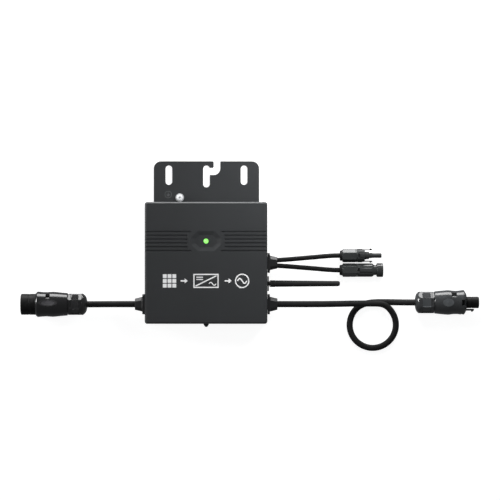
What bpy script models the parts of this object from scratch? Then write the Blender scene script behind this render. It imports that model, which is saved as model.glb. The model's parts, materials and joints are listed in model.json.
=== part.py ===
"""Module-level micro inverter with its mounting bracket, antenna and pluggable leads.

The part lies on its back on the XY plane. +Z points out of the front cover, +Y points towards
the bracket's rail slots, and the leads leave along +X and -X. The origin is on the back face of
the mounting plate, under the centre of the housing. Everything is in metres.
"""

import math

import bmesh
import bpy
import numpy as np
from mathutils import Matrix, Vector

MM = 0.001
GAP = 0.3 * MM                     # clearance kept between neighbouring pieces

# Housing
HOUSING_W = 165.0 * MM             # along X
HOUSING_H = 164.0 * MM             # along Y
HOUSING_TOP = 32.0 * MM            # height of the front face over the back face
CORNER_R = 3.5 * MM
EDGE_BEVEL = 2.0 * MM
WALL = 2.5 * MM
ROOF = 3.0 * MM
SIDE_AXIS_Z = 17.3 * MM            # height of every gland, antenna and trunk connector axis

# Layers of the back
PLATE_T = 2.5 * MM
BASE_Z0 = PLATE_T + GAP
BASE_Z1 = 5.5 * MM
GASKET_Z0 = BASE_Z1 + GAP
GASKET_Z1 = 6.7 * MM
COVER_Z0 = GASKET_Z1 + GAP
CAVITY_Z1 = HOUSING_TOP - ROOF
BOARD_Z0 = 10.0 * MM
BOARD_Z1 = 11.6 * MM
MOUNT_Z = BOARD_Z1 + GAP           # where the parts on the board stand

# Mounting plate
BRACKET_W = 143.0 * MM
BRACKET_TOP = 137.7 * MM
BRACKET_BOTTOM = -78.0 * MM
BRACKET_CORNER_R = 10.0 * MM
SLOT_W = 9.0 * MM
SIDE_SLOT_X = 51.0 * MM
SIDE_SLOT_Y = (105.7 * MM, 132.0 * MM)
CENTRE_SLOT_Y = (102.3 * MM, 132.0 * MM)
ENTRY_X = (9.8 * MM, 18.8 * MM)    # the slot that opens through the top edge
CHANNEL_Y = (119.1 * MM, 128.8 * MM)
GROUND_X = -36.2 * MM
GROUND_Y = 88.3 * MM

# Front decoration
GROOVE_PITCH = 5.12 * MM
GROOVE_W = 2.4 * MM
GROOVE_DEPTH = 1.0 * MM
GROOVE_COUNT = 6
GROOVE_DROP = 0.4 * MM             # the rows sit this much below the middle of the dish
BAND_Y = 29.3 * MM
DISH_DEPTH = 1.9 * MM
LED_R = 3.1 * MM

# Trunk (AC) side
AC_Y = -55.8 * MM
AC_CABLE_R = 4.25 * MM
GLAND_FLANGE_T = 3.0 * MM
GLAND_LENGTH = 13.3 * MM
SPIGOT_H = 11.8 * MM               # part of a gland that passes through the wall
AC_SOCKET_X = -160.7 * MM          # cable end of the left connector
AC_SOCKET_Y = -56.0 * MM
AC_PLUG_X = 281.8 * MM             # cable end of the right connector
AC_PLUG_Y = -53.5 * MM
LOOP_CENTRE = Vector((225.4 * MM, -84.2 * MM, 0.0))
LOOP_R = 31.2 * MM

# Panel (DC) side
DC_CABLE_R = 3.2 * MM
DC_EXIT_Y = (3.4 * MM, -3.7 * MM)
DC_PLUG = Vector((180.7 * MM, 9.8 * MM, 9.5 * MM))
DC_SOCKET = Vector((180.3 * MM, -9.9 * MM, 9.5 * MM))

# Antenna
ANTENNA_Y = -28.1 * MM
ANTENNA_TIP = 180.7 * MM

X_AXIS = Vector((1.0, 0.0, 0.0))
Y_AXIS = Vector((0.0, 1.0, 0.0))
Z_AXIS = Vector((0.0, 0.0, 1.0))


# ---------------------------------------------------------------- materials and finishing

def material(name, colour, roughness, metallic=0.0):
    mat = bpy.data.materials.get(name)
    if mat is None:
        mat = bpy.data.materials.new(name)
        mat.use_nodes = True
        shader = mat.node_tree.nodes["Principled BSDF"]
        shader.inputs["Base Color"].default_value = (*colour, 1.0)
        shader.inputs["Roughness"].default_value = roughness
        shader.inputs["Metallic"].default_value = metallic
    return mat


def coated_metal():
    return material("coated_metal", (0.043, 0.045, 0.047), 0.5, 0.2)


def black_plastic():
    return material("black_plastic", (0.012, 0.012, 0.013), 0.3)


def cable_jacket():
    return material("cable_jacket", (0.011, 0.011, 0.011), 0.55)


def seal_rubber():
    return material("seal_rubber", (0.02, 0.02, 0.02), 0.8)


def steel():
    return material("steel", (0.62, 0.62, 0.6), 0.25, 1.0)


def tinned_copper():
    return material("tinned_copper", (0.7, 0.68, 0.62), 0.3, 1.0)


def green_lens():
    return material("green_lens", (0.25, 0.9, 0.15), 0.2)


def board_laminate():
    return material("board_laminate", (0.02, 0.16, 0.06), 0.5)


def ferrite():
    return material("ferrite", (0.05, 0.05, 0.055), 0.7)


def copper_winding():
    return material("copper_winding", (0.55, 0.24, 0.1), 0.4, 0.8)


def sleeve():
    return material("sleeve", (0.03, 0.05, 0.12), 0.4)


def part_plastic():
    return material("part_plastic", (0.05, 0.12, 0.3), 0.5)


def link(name, bm, mat, smooth=False):
    """Turn a bmesh into a named object with one material."""
    bmesh.ops.remove_doubles(bm, verts=bm.verts, dist=1e-6)
    bmesh.ops.recalc_face_normals(bm, faces=bm.faces)
    mesh = bpy.data.meshes.new(name)
    bm.to_mesh(mesh)
    bm.free()
    mesh.materials.append(mat)
    if smooth:
        mesh.shade_smooth()
        mesh.set_sharp_from_angle(angle=math.radians(35))
    obj = bpy.data.objects.new(name, mesh)
    bpy.context.scene.collection.objects.link(obj)
    return obj


def boolean(obj, tool, operation="DIFFERENCE", solver="EXACT"):
    modifier = obj.modifiers.new(tool.name, "BOOLEAN")
    modifier.object = tool
    modifier.operation = operation
    modifier.solver = solver
    tool.hide_render = True
    tool.display_type = "WIRE"
    return obj


# ---------------------------------------------------------------- outlines and solids

def rounded(points, radius, steps=4):
    """A closed outline with each corner replaced by an arc; radius is one value or one each."""
    outline = []
    count = len(points)
    radii = radius if isinstance(radius, (list, tuple)) else [radius] * count
    for i, r in enumerate(radii):
        corner = Vector(points[i])
        before = (Vector(points[i - 1]) - corner).normalized()
        after = (Vector(points[(i + 1) % count]) - corner).normalized()
        if r < 1e-6:
            outline.append(tuple(corner))
            continue
        half = before.angle(after) / 2
        reach = r / math.tan(half)
        centre = corner + (before + after).normalized() * (r / math.sin(half))
        start = corner + before * reach - centre
        turn = math.pi - 2 * half
        if before.x * after.y - before.y * after.x > 0:
            turn = -turn
        for k in range(steps + 1):
            spin = Matrix.Rotation(turn * k / steps, 2)
            outline.append(tuple(centre + spin @ start))
    return outline


def rectangle(x0, x1, y0, y1, radius=0.0, steps=4):
    return rounded([(x0, y0), (x1, y0), (x1, y1), (x0, y1)], radius, steps)


def centred(width, height, radius=0.0, steps=4, centre=(0.0, 0.0)):
    cx, cy = centre
    return rectangle(cx - width / 2, cx + width / 2, cy - height / 2, cy + height / 2, radius, steps)


def slot(x, y0, y1, width, steps=8):
    """A slot along Y with round ends."""
    return rectangle(x - width / 2, x + width / 2, y0, y1, width / 2 * 0.999, steps // 2)


def frame_of(axis):
    """Two unit vectors across an axis; for +X and -X they are Y and Z."""
    if abs(axis.x) > 0.5:
        return Y_AXIS, Z_AXIS
    if abs(axis.y) > 0.5:
        return X_AXIS, Z_AXIS
    return X_AXIS, Y_AXIS


def loft(name, sections, axis, origin, mat, smooth=False):
    """Closed solid through outlines with equal point counts: sections are (offset, outline)."""
    u, v = frame_of(axis)
    bm = bmesh.new()
    rings = []
    for offset, outline in sections:
        base = origin + axis * offset
        rings.append([bm.verts.new(base + u * a + v * b) for a, b in outline])
    for low, high in zip(rings, rings[1:]):
        for i in range(len(low)):
            j = (i + 1) % len(low)
            bm.faces.new((low[i], low[j], high[j], high[i]))
    bm.faces.new(rings[0])
    bm.faces.new(rings[-1])
    return link(name, bm, mat, smooth)


def prism(name, outline, z0, z1, mat):
    return loft(name, [(z0, outline), (z1, outline)], Z_AXIS, Vector((0, 0, 0)), mat)


def block(name, low, high, mat, radius=0.0):
    outline = rectangle(low[0], high[0], low[1], high[1], radius, 2)
    return prism(name, outline, low[2], high[2], mat)


def turned(name, profile, origin, axis, mat, sides=24, smooth=True):
    """Solid of revolution. The profile is a list of (offset along axis, radius).

    A profile whose ends lie on the axis makes a solid; a closed loop of radii makes a ring.
    """
    u, v = frame_of(axis)
    bm = bmesh.new()
    solid = profile[0][1] < 1e-9
    rings = []
    for offset, radius in profile:
        centre = origin + axis * offset
        if radius < 1e-9:
            rings.append([bm.verts.new(centre)])
            continue
        ring = []
        for k in range(sides):
            angle = 2 * math.pi * k / sides
            ring.append(bm.verts.new(centre + u * radius * math.cos(angle) + v * radius * math.sin(angle)))
        rings.append(ring)
    pairs = list(zip(rings, rings[1:]))
    if not solid:
        pairs.append((rings[-1], rings[0]))
    for low, high in pairs:
        for k in range(sides):
            n = (k + 1) % sides
            if len(low) == 1:
                bm.faces.new((low[0], high[n], high[k]))
            elif len(high) == 1:
                bm.faces.new((low[k], low[n], high[0]))
            else:
                bm.faces.new((low[k], low[n], high[n], high[k]))
    return link(name, bm, mat, smooth)


def tool_block(name, low, high):
    return block(name, low, high, coated_metal())


def tool_rod(name, origin, axis, length, radius, sides=24):
    profile = [(0, 0), (0, radius), (length, radius), (length, 0)]
    return turned(name, profile, origin, axis, coated_metal(), sides, smooth=False)


# ---------------------------------------------------------------- cords

def smooth_curve(points, spacing):
    """Evenly spaced points on the natural cubic spline through the route's points."""
    route = np.array(points, dtype=float)
    knots = np.concatenate([[0.0], np.cumsum(np.linalg.norm(np.diff(route, axis=0), axis=1))])
    count = len(route)
    gaps = np.diff(knots)
    system = np.eye(count)
    target = np.zeros((count, 3))
    for i in range(1, count - 1):
        system[i, i - 1:i + 2] = gaps[i - 1], 2 * (gaps[i - 1] + gaps[i]), gaps[i]
        slopes = (route[i + 1] - route[i]) / gaps[i] - (route[i] - route[i - 1]) / gaps[i - 1]
        target[i] = 6 * slopes
    bend = np.linalg.solve(system, target)

    def at(t):
        i = min(max(int(np.searchsorted(knots, t, side="right")) - 1, 0), count - 2)
        h, a, b = gaps[i], knots[i + 1] - t, t - knots[i]
        return ((bend[i] * a ** 3 + bend[i + 1] * b ** 3) / (6 * h)
                + (route[i] / h - bend[i] * h / 6) * a + (route[i + 1] / h - bend[i + 1] * h / 6) * b)

    total = knots[-1]
    steps = max(2, round(total / spacing))
    return [at(total * k / steps) for k in range(steps + 1)]


def cord(name, points, radius, spacing, mat):
    """A round cord as a bevelled curve with filled caps."""
    path = smooth_curve(points, spacing)
    curve = bpy.data.curves.new(name, "CURVE")
    curve.dimensions = "3D"
    curve.bevel_depth = radius
    curve.bevel_resolution = 2
    curve.use_fill_caps = True
    spline = curve.splines.new("POLY")
    spline.points.add(len(path) - 1)
    for spot, place in zip(spline.points, path):
        spot.co = (*place, 1.0)
    curve.materials.append(mat)
    obj = bpy.data.objects.new(name, curve)
    bpy.context.scene.collection.objects.link(obj)
    return obj


# ---------------------------------------------------------------- housing

def housing_outline(inset=0.0):
    radius = max(CORNER_R - inset, 1.0 * MM)
    return centred(HOUSING_W - 2 * inset, HOUSING_H - 2 * inset, radius)


def cavity_outline(inset=0.0):
    """Inside of the walls, with the corners left solid for the screws."""
    x = HOUSING_W / 2 - WALL - inset
    y = HOUSING_H / 2 - WALL - inset
    c = 11.0 * MM
    return [(x - c, -y), (x, -y + c), (x, y - c), (x - c, y),
            (-x + c, y), (-x, y - c), (-x, -y + c), (-x + c, -y)]


def corner_spots():
    x = HOUSING_W / 2 - 6.0 * MM
    y = HOUSING_H / 2 - 6.0 * MM
    return [(-x, -y), (x, -y), (x, y), (-x, y)]


def gland_spots():
    """Name, height on the side, side and spigot width of each gland."""
    return [("dc_gland", 0.0, 1, 16.8 * MM), ("ac_gland_right", AC_Y, 1, 14.8 * MM),
            ("ac_gland_left", AC_Y, -1, 14.8 * MM)]


def post_spots():
    """Where the posts of the base plate hold the board."""
    return [(-62 * MM, -40 * MM), (62 * MM, -40 * MM), (62 * MM, 40 * MM), (-62 * MM, 40 * MM)]


def plate_spots():
    return [(-60 * MM, -62 * MM), (60 * MM, -62 * MM), (60 * MM, 66 * MM), (-60 * MM, 66 * MM)]


def dish_outline(grow):
    """Elongated octagon with soft corners round the indicator."""
    x, y = 13.0 * MM + grow, 6.4 * MM + grow * 0.9
    flat_x, flat_y = 7.5 * MM + grow * 0.4, 2.6 * MM + grow * 0.15
    corners = [(flat_x, -y), (x, -flat_y), (x, flat_y), (flat_x, y),
               (-flat_x, y), (-x, flat_y), (-x, -flat_y), (-flat_x, -y)]
    return [(a, b + BAND_Y) for a, b in rounded(corners, 3.0 * MM, 2)]


def groove_rows():
    """Centre height and half gap at the dish of each groove."""
    rows = []
    for i in range(GROOVE_COUNT):
        offset = (i - (GROOVE_COUNT - 1) / 2) * GROOVE_PITCH
        gap = 24.6 * MM if abs(offset) < 8 * MM else 20.0 * MM
        rows.append((BAND_Y + offset - GROOVE_DROP, gap))
    return rows


def front_cover():
    shell = loft("front_cover", [
        (COVER_Z0, housing_outline()),
        (HOUSING_TOP - EDGE_BEVEL, housing_outline()),
        (HOUSING_TOP - EDGE_BEVEL * 0.3, housing_outline(EDGE_BEVEL * 0.3)),
        (HOUSING_TOP, housing_outline(EDGE_BEVEL)),
    ], Z_AXIS, Vector((0, 0, 0)), coated_metal())
    boolean(shell, prism("cavity", cavity_outline(), COVER_Z0 - 1 * MM, CAVITY_Z1, coated_metal()))
    for i, (y, gap) in enumerate(groove_rows()):
        for side in (-1, 1):
            x0, x1 = sorted((side * gap, side * HOUSING_W * 0.6))
            low = (x0, y - GROOVE_W / 2, HOUSING_TOP - GROOVE_DEPTH)
            high = (x1, y + GROOVE_W / 2, HOUSING_TOP + 1 * MM)
            boolean(shell, tool_block(f"groove_{i}_{side}", low, high))
    dish = loft("dish", [
        (HOUSING_TOP - DISH_DEPTH, dish_outline(0.0)),
        (HOUSING_TOP + 0.2 * MM, dish_outline(8.5 * MM)),
    ], Z_AXIS, Vector((0, 0, 0)), coated_metal())
    boolean(shell, dish)
    led = tool_rod("led_hole", Vector((0, BAND_Y, CAVITY_Z1 - 2 * MM)), Z_AXIS, 6 * MM, LED_R + 0.4 * MM)
    boolean(shell, led)
    for i, (x, y) in enumerate(corner_spots()):
        foot = Vector((x, y, COVER_Z0 - 1 * MM))
        hole = tool_rod(f"corner_hole_{i}", foot, Z_AXIS, 12 * MM, 2.0 * MM, 12)
        boolean(shell, hole)
    for name, y, side, width in gland_spots():
        x0, x1 = sorted((side * (HOUSING_W / 2 - 6 * MM), side * (HOUSING_W / 2 + 1 * MM)))
        half_w = width / 2 + GAP
        half_h = SPIGOT_H / 2 + GAP
        low = (x0, y - half_w, SIDE_AXIS_Z - half_h)
        high = (x1, y + half_w, SIDE_AXIS_Z + half_h)
        boolean(shell, tool_block(f"{name}_hole", low, high))
    antenna = Vector((HOUSING_W / 2 - 6 * MM, ANTENNA_Y, SIDE_AXIS_Z))
    boolean(shell, tool_rod("antenna_hole", antenna, X_AXIS, 8 * MM, 3.4 * MM, 16))
    vent = Vector((0, -HOUSING_H / 2 - 1 * MM, SIDE_AXIS_Z))
    boolean(shell, tool_rod("vent_hole", vent, Y_AXIS, 8 * MM, 2.4 * MM, 16))


def base_plate():
    base = prism("base_plate", housing_outline(), BASE_Z0, BASE_Z1, coated_metal())
    for i, (x, y) in enumerate(post_spots()):
        post = turned(f"board_post_{i}", [
            (BASE_Z1 - 0.5 * MM, 0), (BASE_Z1 - 0.5 * MM, 3.2 * MM), (BOARD_Z0 - GAP, 3.2 * MM),
            (BOARD_Z0 - GAP, 1.2 * MM), (BOARD_Z1 + 1 * MM, 1.2 * MM), (BOARD_Z1 + 1 * MM, 0),
        ], Vector((x, y, 0)), Z_AXIS, coated_metal(), 12)
        boolean(base, post, "UNION")
    for i, (x, y) in enumerate(corner_spots()):
        boolean(base, tool_rod(f"base_hole_{i}", Vector((x, y, 0)), Z_AXIS, 8 * MM, 2.0 * MM, 12))
        boolean(base, tool_rod(f"base_sink_{i}", Vector((x, y, 0)), Z_AXIS, 4.2 * MM, 3.4 * MM, 12))
    for i, (x, y) in enumerate(plate_spots()):
        boolean(base, tool_rod(f"base_tap_{i}", Vector((x, y, 0)), Z_AXIS, 8 * MM, 2.0 * MM, 12))


def housing_gasket():
    ring = prism("housing_gasket", housing_outline(0.8 * MM), GASKET_Z0, GASKET_Z1, seal_rubber())
    boolean(ring, prism("gasket_window", cavity_outline(), 0, 10 * MM, seal_rubber()))
    for i, (x, y) in enumerate(corner_spots()):
        boolean(ring, tool_rod(f"gasket_hole_{i}", Vector((x, y, 0)), Z_AXIS, 10 * MM, 2.0 * MM, 12))


def corner_screws():
    for i, (x, y) in enumerate(corner_spots()):
        turned(f"base_screw_{i + 1}", [
            (BASE_Z0 - 0.6 * MM, 0), (BASE_Z0 - 0.6 * MM, 3.0 * MM), (3.9 * MM, 3.0 * MM),
            (3.9 * MM, 1.6 * MM), (15.5 * MM, 1.6 * MM), (16.5 * MM, 0),
        ], Vector((x, y, 0)), Z_AXIS, steel(), 12)


def plate_screws():
    for i, (x, y) in enumerate(plate_spots()):
        turned(f"plate_screw_{i + 1}", [
            (0.3 * MM, 0), (0.3 * MM, 3.5 * MM), (0.7 * MM, 3.5 * MM),
            (2.3 * MM, 1.6 * MM), (7.2 * MM, 1.6 * MM), (7.8 * MM, 0),
        ], Vector((x, y, 0)), Z_AXIS, steel(), 12)


def mounting_plate():
    w = BRACKET_W / 2
    half = SLOT_W / 2
    low = rectangle(-w, w, BRACKET_BOTTOM, BRACKET_TOP, 5 * MM)
    high = rectangle(-w, w, BRACKET_BOTTOM, BRACKET_TOP, BRACKET_CORNER_R, 6)
    right_top = high[14:21]
    left_top = high[21:28]
    outline = low[:10] + right_top
    outline.append((ENTRY_X[1], BRACKET_TOP))
    turn = Vector((ENTRY_X[0], CHANNEL_Y[0] + SLOT_W))
    for k in range(7):
        angle = -math.radians(90) * k / 6
        outline.append((turn.x + SLOT_W * math.cos(angle), turn.y + SLOT_W * math.sin(angle)))
    foot = CENTRE_SLOT_Y[0] + half
    outline.append((half, CHANNEL_Y[0]))
    for k in range(9):
        angle = -math.pi * k / 8
        outline.append((half * math.cos(angle), foot + half * math.sin(angle)))
    head = CENTRE_SLOT_Y[1] - half
    last = math.asin((CHANNEL_Y[1] - head) / half)
    for k in range(9):
        angle = math.pi + (last - math.pi) * k / 8
        outline.append((half * math.cos(angle), head + half * math.sin(angle)))
    outline += rounded([(half, CHANNEL_Y[1]), (ENTRY_X[0], CHANNEL_Y[1]), (ENTRY_X[0], BRACKET_TOP),
                        (half, BRACKET_TOP)], [0, 1.5 * MM, 2.0 * MM, 0], 3)[1:-1]
    outline += left_top
    plate = prism("mounting_plate", outline, 0, PLATE_T, coated_metal())
    for side in (-1, 1):
        hole = slot(side * SIDE_SLOT_X, *SIDE_SLOT_Y, SLOT_W)
        boolean(plate, prism(f"rail_slot_{side}", hole, -1 * MM, 4 * MM, coated_metal()))
    ground = Vector((GROUND_X, GROUND_Y, -1 * MM))
    boolean(plate, tool_rod("ground_hole", ground, Z_AXIS, 5 * MM, 2.4 * MM, 16))
    for i, (x, y) in enumerate(plate_spots()):
        sink = turned(f"plate_sink_{i}", [
            (-1 * MM, 0), (-1 * MM, 3.9 * MM), (0.9 * MM, 3.9 * MM), (2.4 * MM, 2.1 * MM),
            (4 * MM, 2.1 * MM), (4 * MM, 0),
        ], Vector((x, y, 0)), Z_AXIS, coated_metal(), 12, smooth=False)
        boolean(plate, sink)


def ground_terminal():
    spot = Vector((GROUND_X, GROUND_Y, 0))
    top = PLATE_T + GAP
    turned("ground_washer", [
        (top, 2.4 * MM), (top, 5.65 * MM), (top + 0.8 * MM, 5.65 * MM), (top + 0.8 * MM, 2.4 * MM),
    ], spot, Z_AXIS, steel(), 16)
    seat = top + 0.8 * MM + GAP
    screw = turned("ground_screw", [
        (0.5 * MM, 0), (0.5 * MM, 1.9 * MM), (seat, 1.9 * MM), (seat, 4.1 * MM),
        (seat + 1.6 * MM, 4.1 * MM), (seat + 2.4 * MM, 3.3 * MM), (seat + 2.4 * MM, 0),
    ], spot, Z_AXIS, steel(), 16)
    head = seat + 2.4 * MM
    for k, (a, b) in enumerate(((4.6, 0.9), (0.9, 4.6))):
        low = (GROUND_X - a * MM / 2, GROUND_Y - b * MM / 2, head - 1.2 * MM)
        high = (GROUND_X + a * MM / 2, GROUND_Y + b * MM / 2, head + 1 * MM)
        boolean(screw, tool_block(f"ground_cross_{k}", low, high))


def light_pipe():
    turned("light_pipe", [
        (14.2 * MM, 0), (14.2 * MM, 2.0 * MM), (27.4 * MM, 2.0 * MM), (27.4 * MM, 4.6 * MM),
        (CAVITY_Z1 - GAP, 4.6 * MM), (CAVITY_Z1 - GAP, LED_R), (31.0 * MM, LED_R),
        (31.5 * MM, LED_R * 0.75), (31.7 * MM, 0),
    ], Vector((0, BAND_Y, 0)), Z_AXIS, green_lens(), 16)


def vent_plug():
    start = HOUSING_H / 2
    turned("vent_plug", [
        (-5 * MM, 0), (-5 * MM, 1.9 * MM), (GAP, 1.9 * MM), (GAP, 3.6 * MM),
        (1.4 * MM, 3.4 * MM), (3.2 * MM, 2.4 * MM), (4.4 * MM, 1.2 * MM), (4.6 * MM, 0),
    ], Vector((0, -start, SIDE_AXIS_Z)), -Y_AXIS, black_plastic(), 16)


# ---------------------------------------------------------------- electronics

def boards():
    inset = 3.5 * MM
    board = prism("main_board", cavity_outline(inset), BOARD_Z0, BOARD_Z1, board_laminate())
    for i, (x, y) in enumerate(post_spots()):
        hole = tool_rod(f"board_hole_{i}", Vector((x, y, 9 * MM)), Z_AXIS, 4 * MM, 1.6 * MM, 12)
        boolean(board, hole)
    comms = block("comms_board", (46 * MM, -42 * MM, 18 * MM), (72 * MM, -14 * MM, 19.2 * MM),
                  board_laminate())
    header = block("comms_header", (50 * MM, -40 * MM, MOUNT_Z), (53 * MM, -16 * MM, 18.5 * MM),
                   board_laminate())
    boolean(comms, header, "UNION")


def transformer():
    x, y = -34 * MM, 20 * MM
    z0, z1 = MOUNT_Z, MOUNT_Z + 16 * MM
    core = block("transformer_core", (x - 18 * MM, y - 20 * MM, z0), (x + 18 * MM, y + 20 * MM, z1),
                 ferrite())
    for side in (-1, 1):
        low_y, high_y = sorted((y + side * 6 * MM, y + side * 14 * MM))
        low = (x - 20 * MM, low_y, z0 + 4 * MM)
        high = (x + 20 * MM, high_y, z1 - 4 * MM)
        boolean(core, tool_block(f"core_window_{side}", low, high))
    outer = centred(50 * MM, 27.4 * MM, 3 * MM, 3, (x, y))
    inner = centred(36.6 * MM, 12.6 * MM, 0.0, 3, (x, y))
    winding = prism("transformer_winding", outer, z0 + 4.3 * MM, z1 - 4.3 * MM, copper_winding())
    boolean(winding, prism("winding_hole", inner, z0, z1, copper_winding()))


def capacitors():
    for i, (x, y) in enumerate(((14, 46), (30, 46))):
        turned(f"bulk_capacitor_{i + 1}", [
            (MOUNT_Z, 0), (MOUNT_Z, 6.5 * MM), (MOUNT_Z + 15 * MM, 6.5 * MM),
            (MOUNT_Z + 15.6 * MM, 5.9 * MM), (MOUNT_Z + 15.6 * MM, 0),
        ], Vector((x * MM, y * MM, 0)), Z_AXIS, sleeve(), 16)
    block("film_capacitor", (-12 * MM, -46 * MM, MOUNT_Z), (8 * MM, -37 * MM, MOUNT_Z + 14 * MM),
          part_plastic(), 1 * MM)


def power_stage():
    turned("filter_choke", [
        (MOUNT_Z, 5 * MM), (MOUNT_Z, 11 * MM), (MOUNT_Z + 1 * MM, 12 * MM), (MOUNT_Z + 9 * MM, 12 * MM),
        (MOUNT_Z + 10 * MM, 11 * MM), (MOUNT_Z + 10 * MM, 5 * MM),
    ], Vector((30 * MM, -52 * MM, 0)), Z_AXIS, copper_winding(), 16)
    block("ac_relay", (-44 * MM, -60 * MM, MOUNT_Z), (-24 * MM, -44 * MM, MOUNT_Z + 15 * MM),
          part_plastic(), 0.8 * MM)
    pad_top = BASE_Z1 + GAP + 1.1 * MM
    block("thermal_pad", (20 * MM, 4 * MM, BASE_Z1 + GAP), (54 * MM, 20 * MM, pad_top), seal_rubber())
    for i, x in enumerate((22 * MM, 40 * MM)):
        low = (x, 5 * MM, pad_top + GAP)
        high = (x + 10 * MM, 19 * MM, BOARD_Z0 - GAP)
        block(f"power_transistor_{i + 1}", low, high, black_plastic())
    turned("status_led", [
        (MOUNT_Z, 0), (MOUNT_Z, 2.2 * MM), (MOUNT_Z + 1.1 * MM, 2.2 * MM),
        (MOUNT_Z + 1.8 * MM, 1.2 * MM), (MOUNT_Z + 1.9 * MM, 0),
    ], Vector((0, BAND_Y, 0)), Z_AXIS, green_lens(), 12)


def terminal_block(name, low, high, holes):
    """Block with wire holes in its +X face, at the given heights along Y."""
    body = block(name, low, high, part_plastic())
    for i, y in enumerate(holes):
        start = Vector((high[0] + 1 * MM, y, (low[2] + high[2]) / 2))
        boolean(body, tool_rod(f"{name}_hole_{i}", start, -X_AXIS, 7 * MM, 2.0 * MM, 12))


def terminals():
    top = MOUNT_Z + 10 * MM
    terminal_block("dc_terminal_block", (56 * MM, -9 * MM, MOUNT_Z), (68 * MM, 9 * MM, top),
                   (-4 * MM, 4 * MM))
    terminal_block("ac_terminal_block", (50 * MM, AC_Y - 10 * MM, MOUNT_Z), (62 * MM, AC_Y + 8 * MM, top),
                   (AC_Y - 6 * MM, AC_Y - 1 * MM, AC_Y + 4 * MM))


# ---------------------------------------------------------------- glands and antenna

def gland(name, y, side, width):
    """Moulded cable gland: square flange, tapered nose and a spigot of the given width through the wall."""
    start = Vector((side * (HOUSING_W / 2 + GAP), y, SIDE_AXIS_Z))
    axis = X_AXIS * side
    flange = centred(27 * MM, 24 * MM, 3 * MM, 3)
    foot = centred(19.4 * MM, 17.5 * MM, 5 * MM, 3)
    tip = centred(15.4 * MM, 14 * MM, 4.5 * MM, 3)
    blunt = centred(14.4 * MM, 13 * MM, 4.0 * MM, 3)
    body = loft(name, [
        (0, flange), (GLAND_FLANGE_T, flange), (GLAND_FLANGE_T, foot),
        (GLAND_LENGTH - 0.6 * MM, tip), (GLAND_LENGTH, blunt),
    ], axis, start, black_plastic())
    root = centred(width, SPIGOT_H, 2 * MM, 2)
    spigot = loft(f"{name}_spigot", [(-6 * MM, root), (1 * MM, root)], axis, start, black_plastic())
    boolean(body, spigot, "UNION")


def antenna():
    start = Vector((HOUSING_W / 2 + GAP, ANTENNA_Y, SIDE_AXIS_Z))
    plate = centred(20 * MM, 20 * MM, 3 * MM, 3)
    base = loft("antenna_base", [(0, plate), (1.7 * MM, plate)], X_AXIS, start, black_plastic())
    stem = turned("antenna_stem", [
        (-7 * MM, 0), (-7 * MM, 3.0 * MM), (1 * MM, 3.0 * MM), (1 * MM, 2.4 * MM),
        (7.2 * MM, 2.4 * MM), (7.2 * MM, 0),
    ], start, X_AXIS, tinned_copper(), 16)
    boolean(base, stem, "UNION")
    line = Vector((0, ANTENNA_Y, SIDE_AXIS_Z))
    face = HOUSING_W / 2 + GAP + 1.7 * MM
    turned("antenna_seal", [
        (face + GAP, 2.9 * MM), (face + GAP, 3.9 * MM),
        (face + 1.2 * MM, 3.9 * MM), (face + 1.2 * MM, 2.9 * MM),
    ], line, X_AXIS, seal_rubber(), 16)
    nut = face + 1.2 * MM + GAP
    nut_end = 93.4 * MM
    turned("antenna_collar", [
        (nut, 2.9 * MM), (nut, 4.6 * MM), (nut_end - 0.4 * MM, 4.6 * MM), (nut_end, 4.3 * MM),
        (nut_end, 2.5 * MM), (nut_end - 2.2 * MM, 2.5 * MM), (nut_end - 2.2 * MM, 2.9 * MM),
    ], line, X_AXIS, black_plastic(), 16)
    turned("antenna_whip", [
        (nut_end - 2.0 * MM, 0), (nut_end - 2.0 * MM, 2.1 * MM),
        (nut_end + GAP, 2.1 * MM), (nut_end + GAP, 4.4 * MM),
        (ANTENNA_TIP - 2.4 * MM, 3.6 * MM), (ANTENNA_TIP - 0.8 * MM, 2.8 * MM),
        (ANTENNA_TIP - 0.1 * MM, 1.2 * MM), (ANTENNA_TIP, 0),
    ], line, X_AXIS, black_plastic(), 16)


# ---------------------------------------------------------------- connectors

def nut_and_seal(prefix, start, axis, dome, nut_end, outer, neck, cable_r, neck_start):
    """Compression nut with its rubber seal; start is the cable end of the connector."""
    hole = cable_r + 0.8 * MM
    wall = neck + 0.5 * MM
    turned(f"{prefix}_nut", [
        (0, hole), (0, outer * 0.66), (dome * 0.45, outer * 0.86), (dome, outer), (nut_end, outer),
        (nut_end, wall), (dome * 0.7, wall), (dome * 0.45, hole + 1.4 * MM), (dome * 0.45, hole),
    ], start, axis, black_plastic(), 20)
    seal_r = neck - 1.9 * MM
    seal_start = dome * 0.7 + GAP
    turned(f"{prefix}_seal", [
        (seal_start, cable_r + 0.35 * MM), (seal_start, seal_r),
        (neck_start + 6 * MM, seal_r), (neck_start + 6 * MM, cable_r + 0.35 * MM),
    ], start, axis, seal_rubber(), 16)


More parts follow.
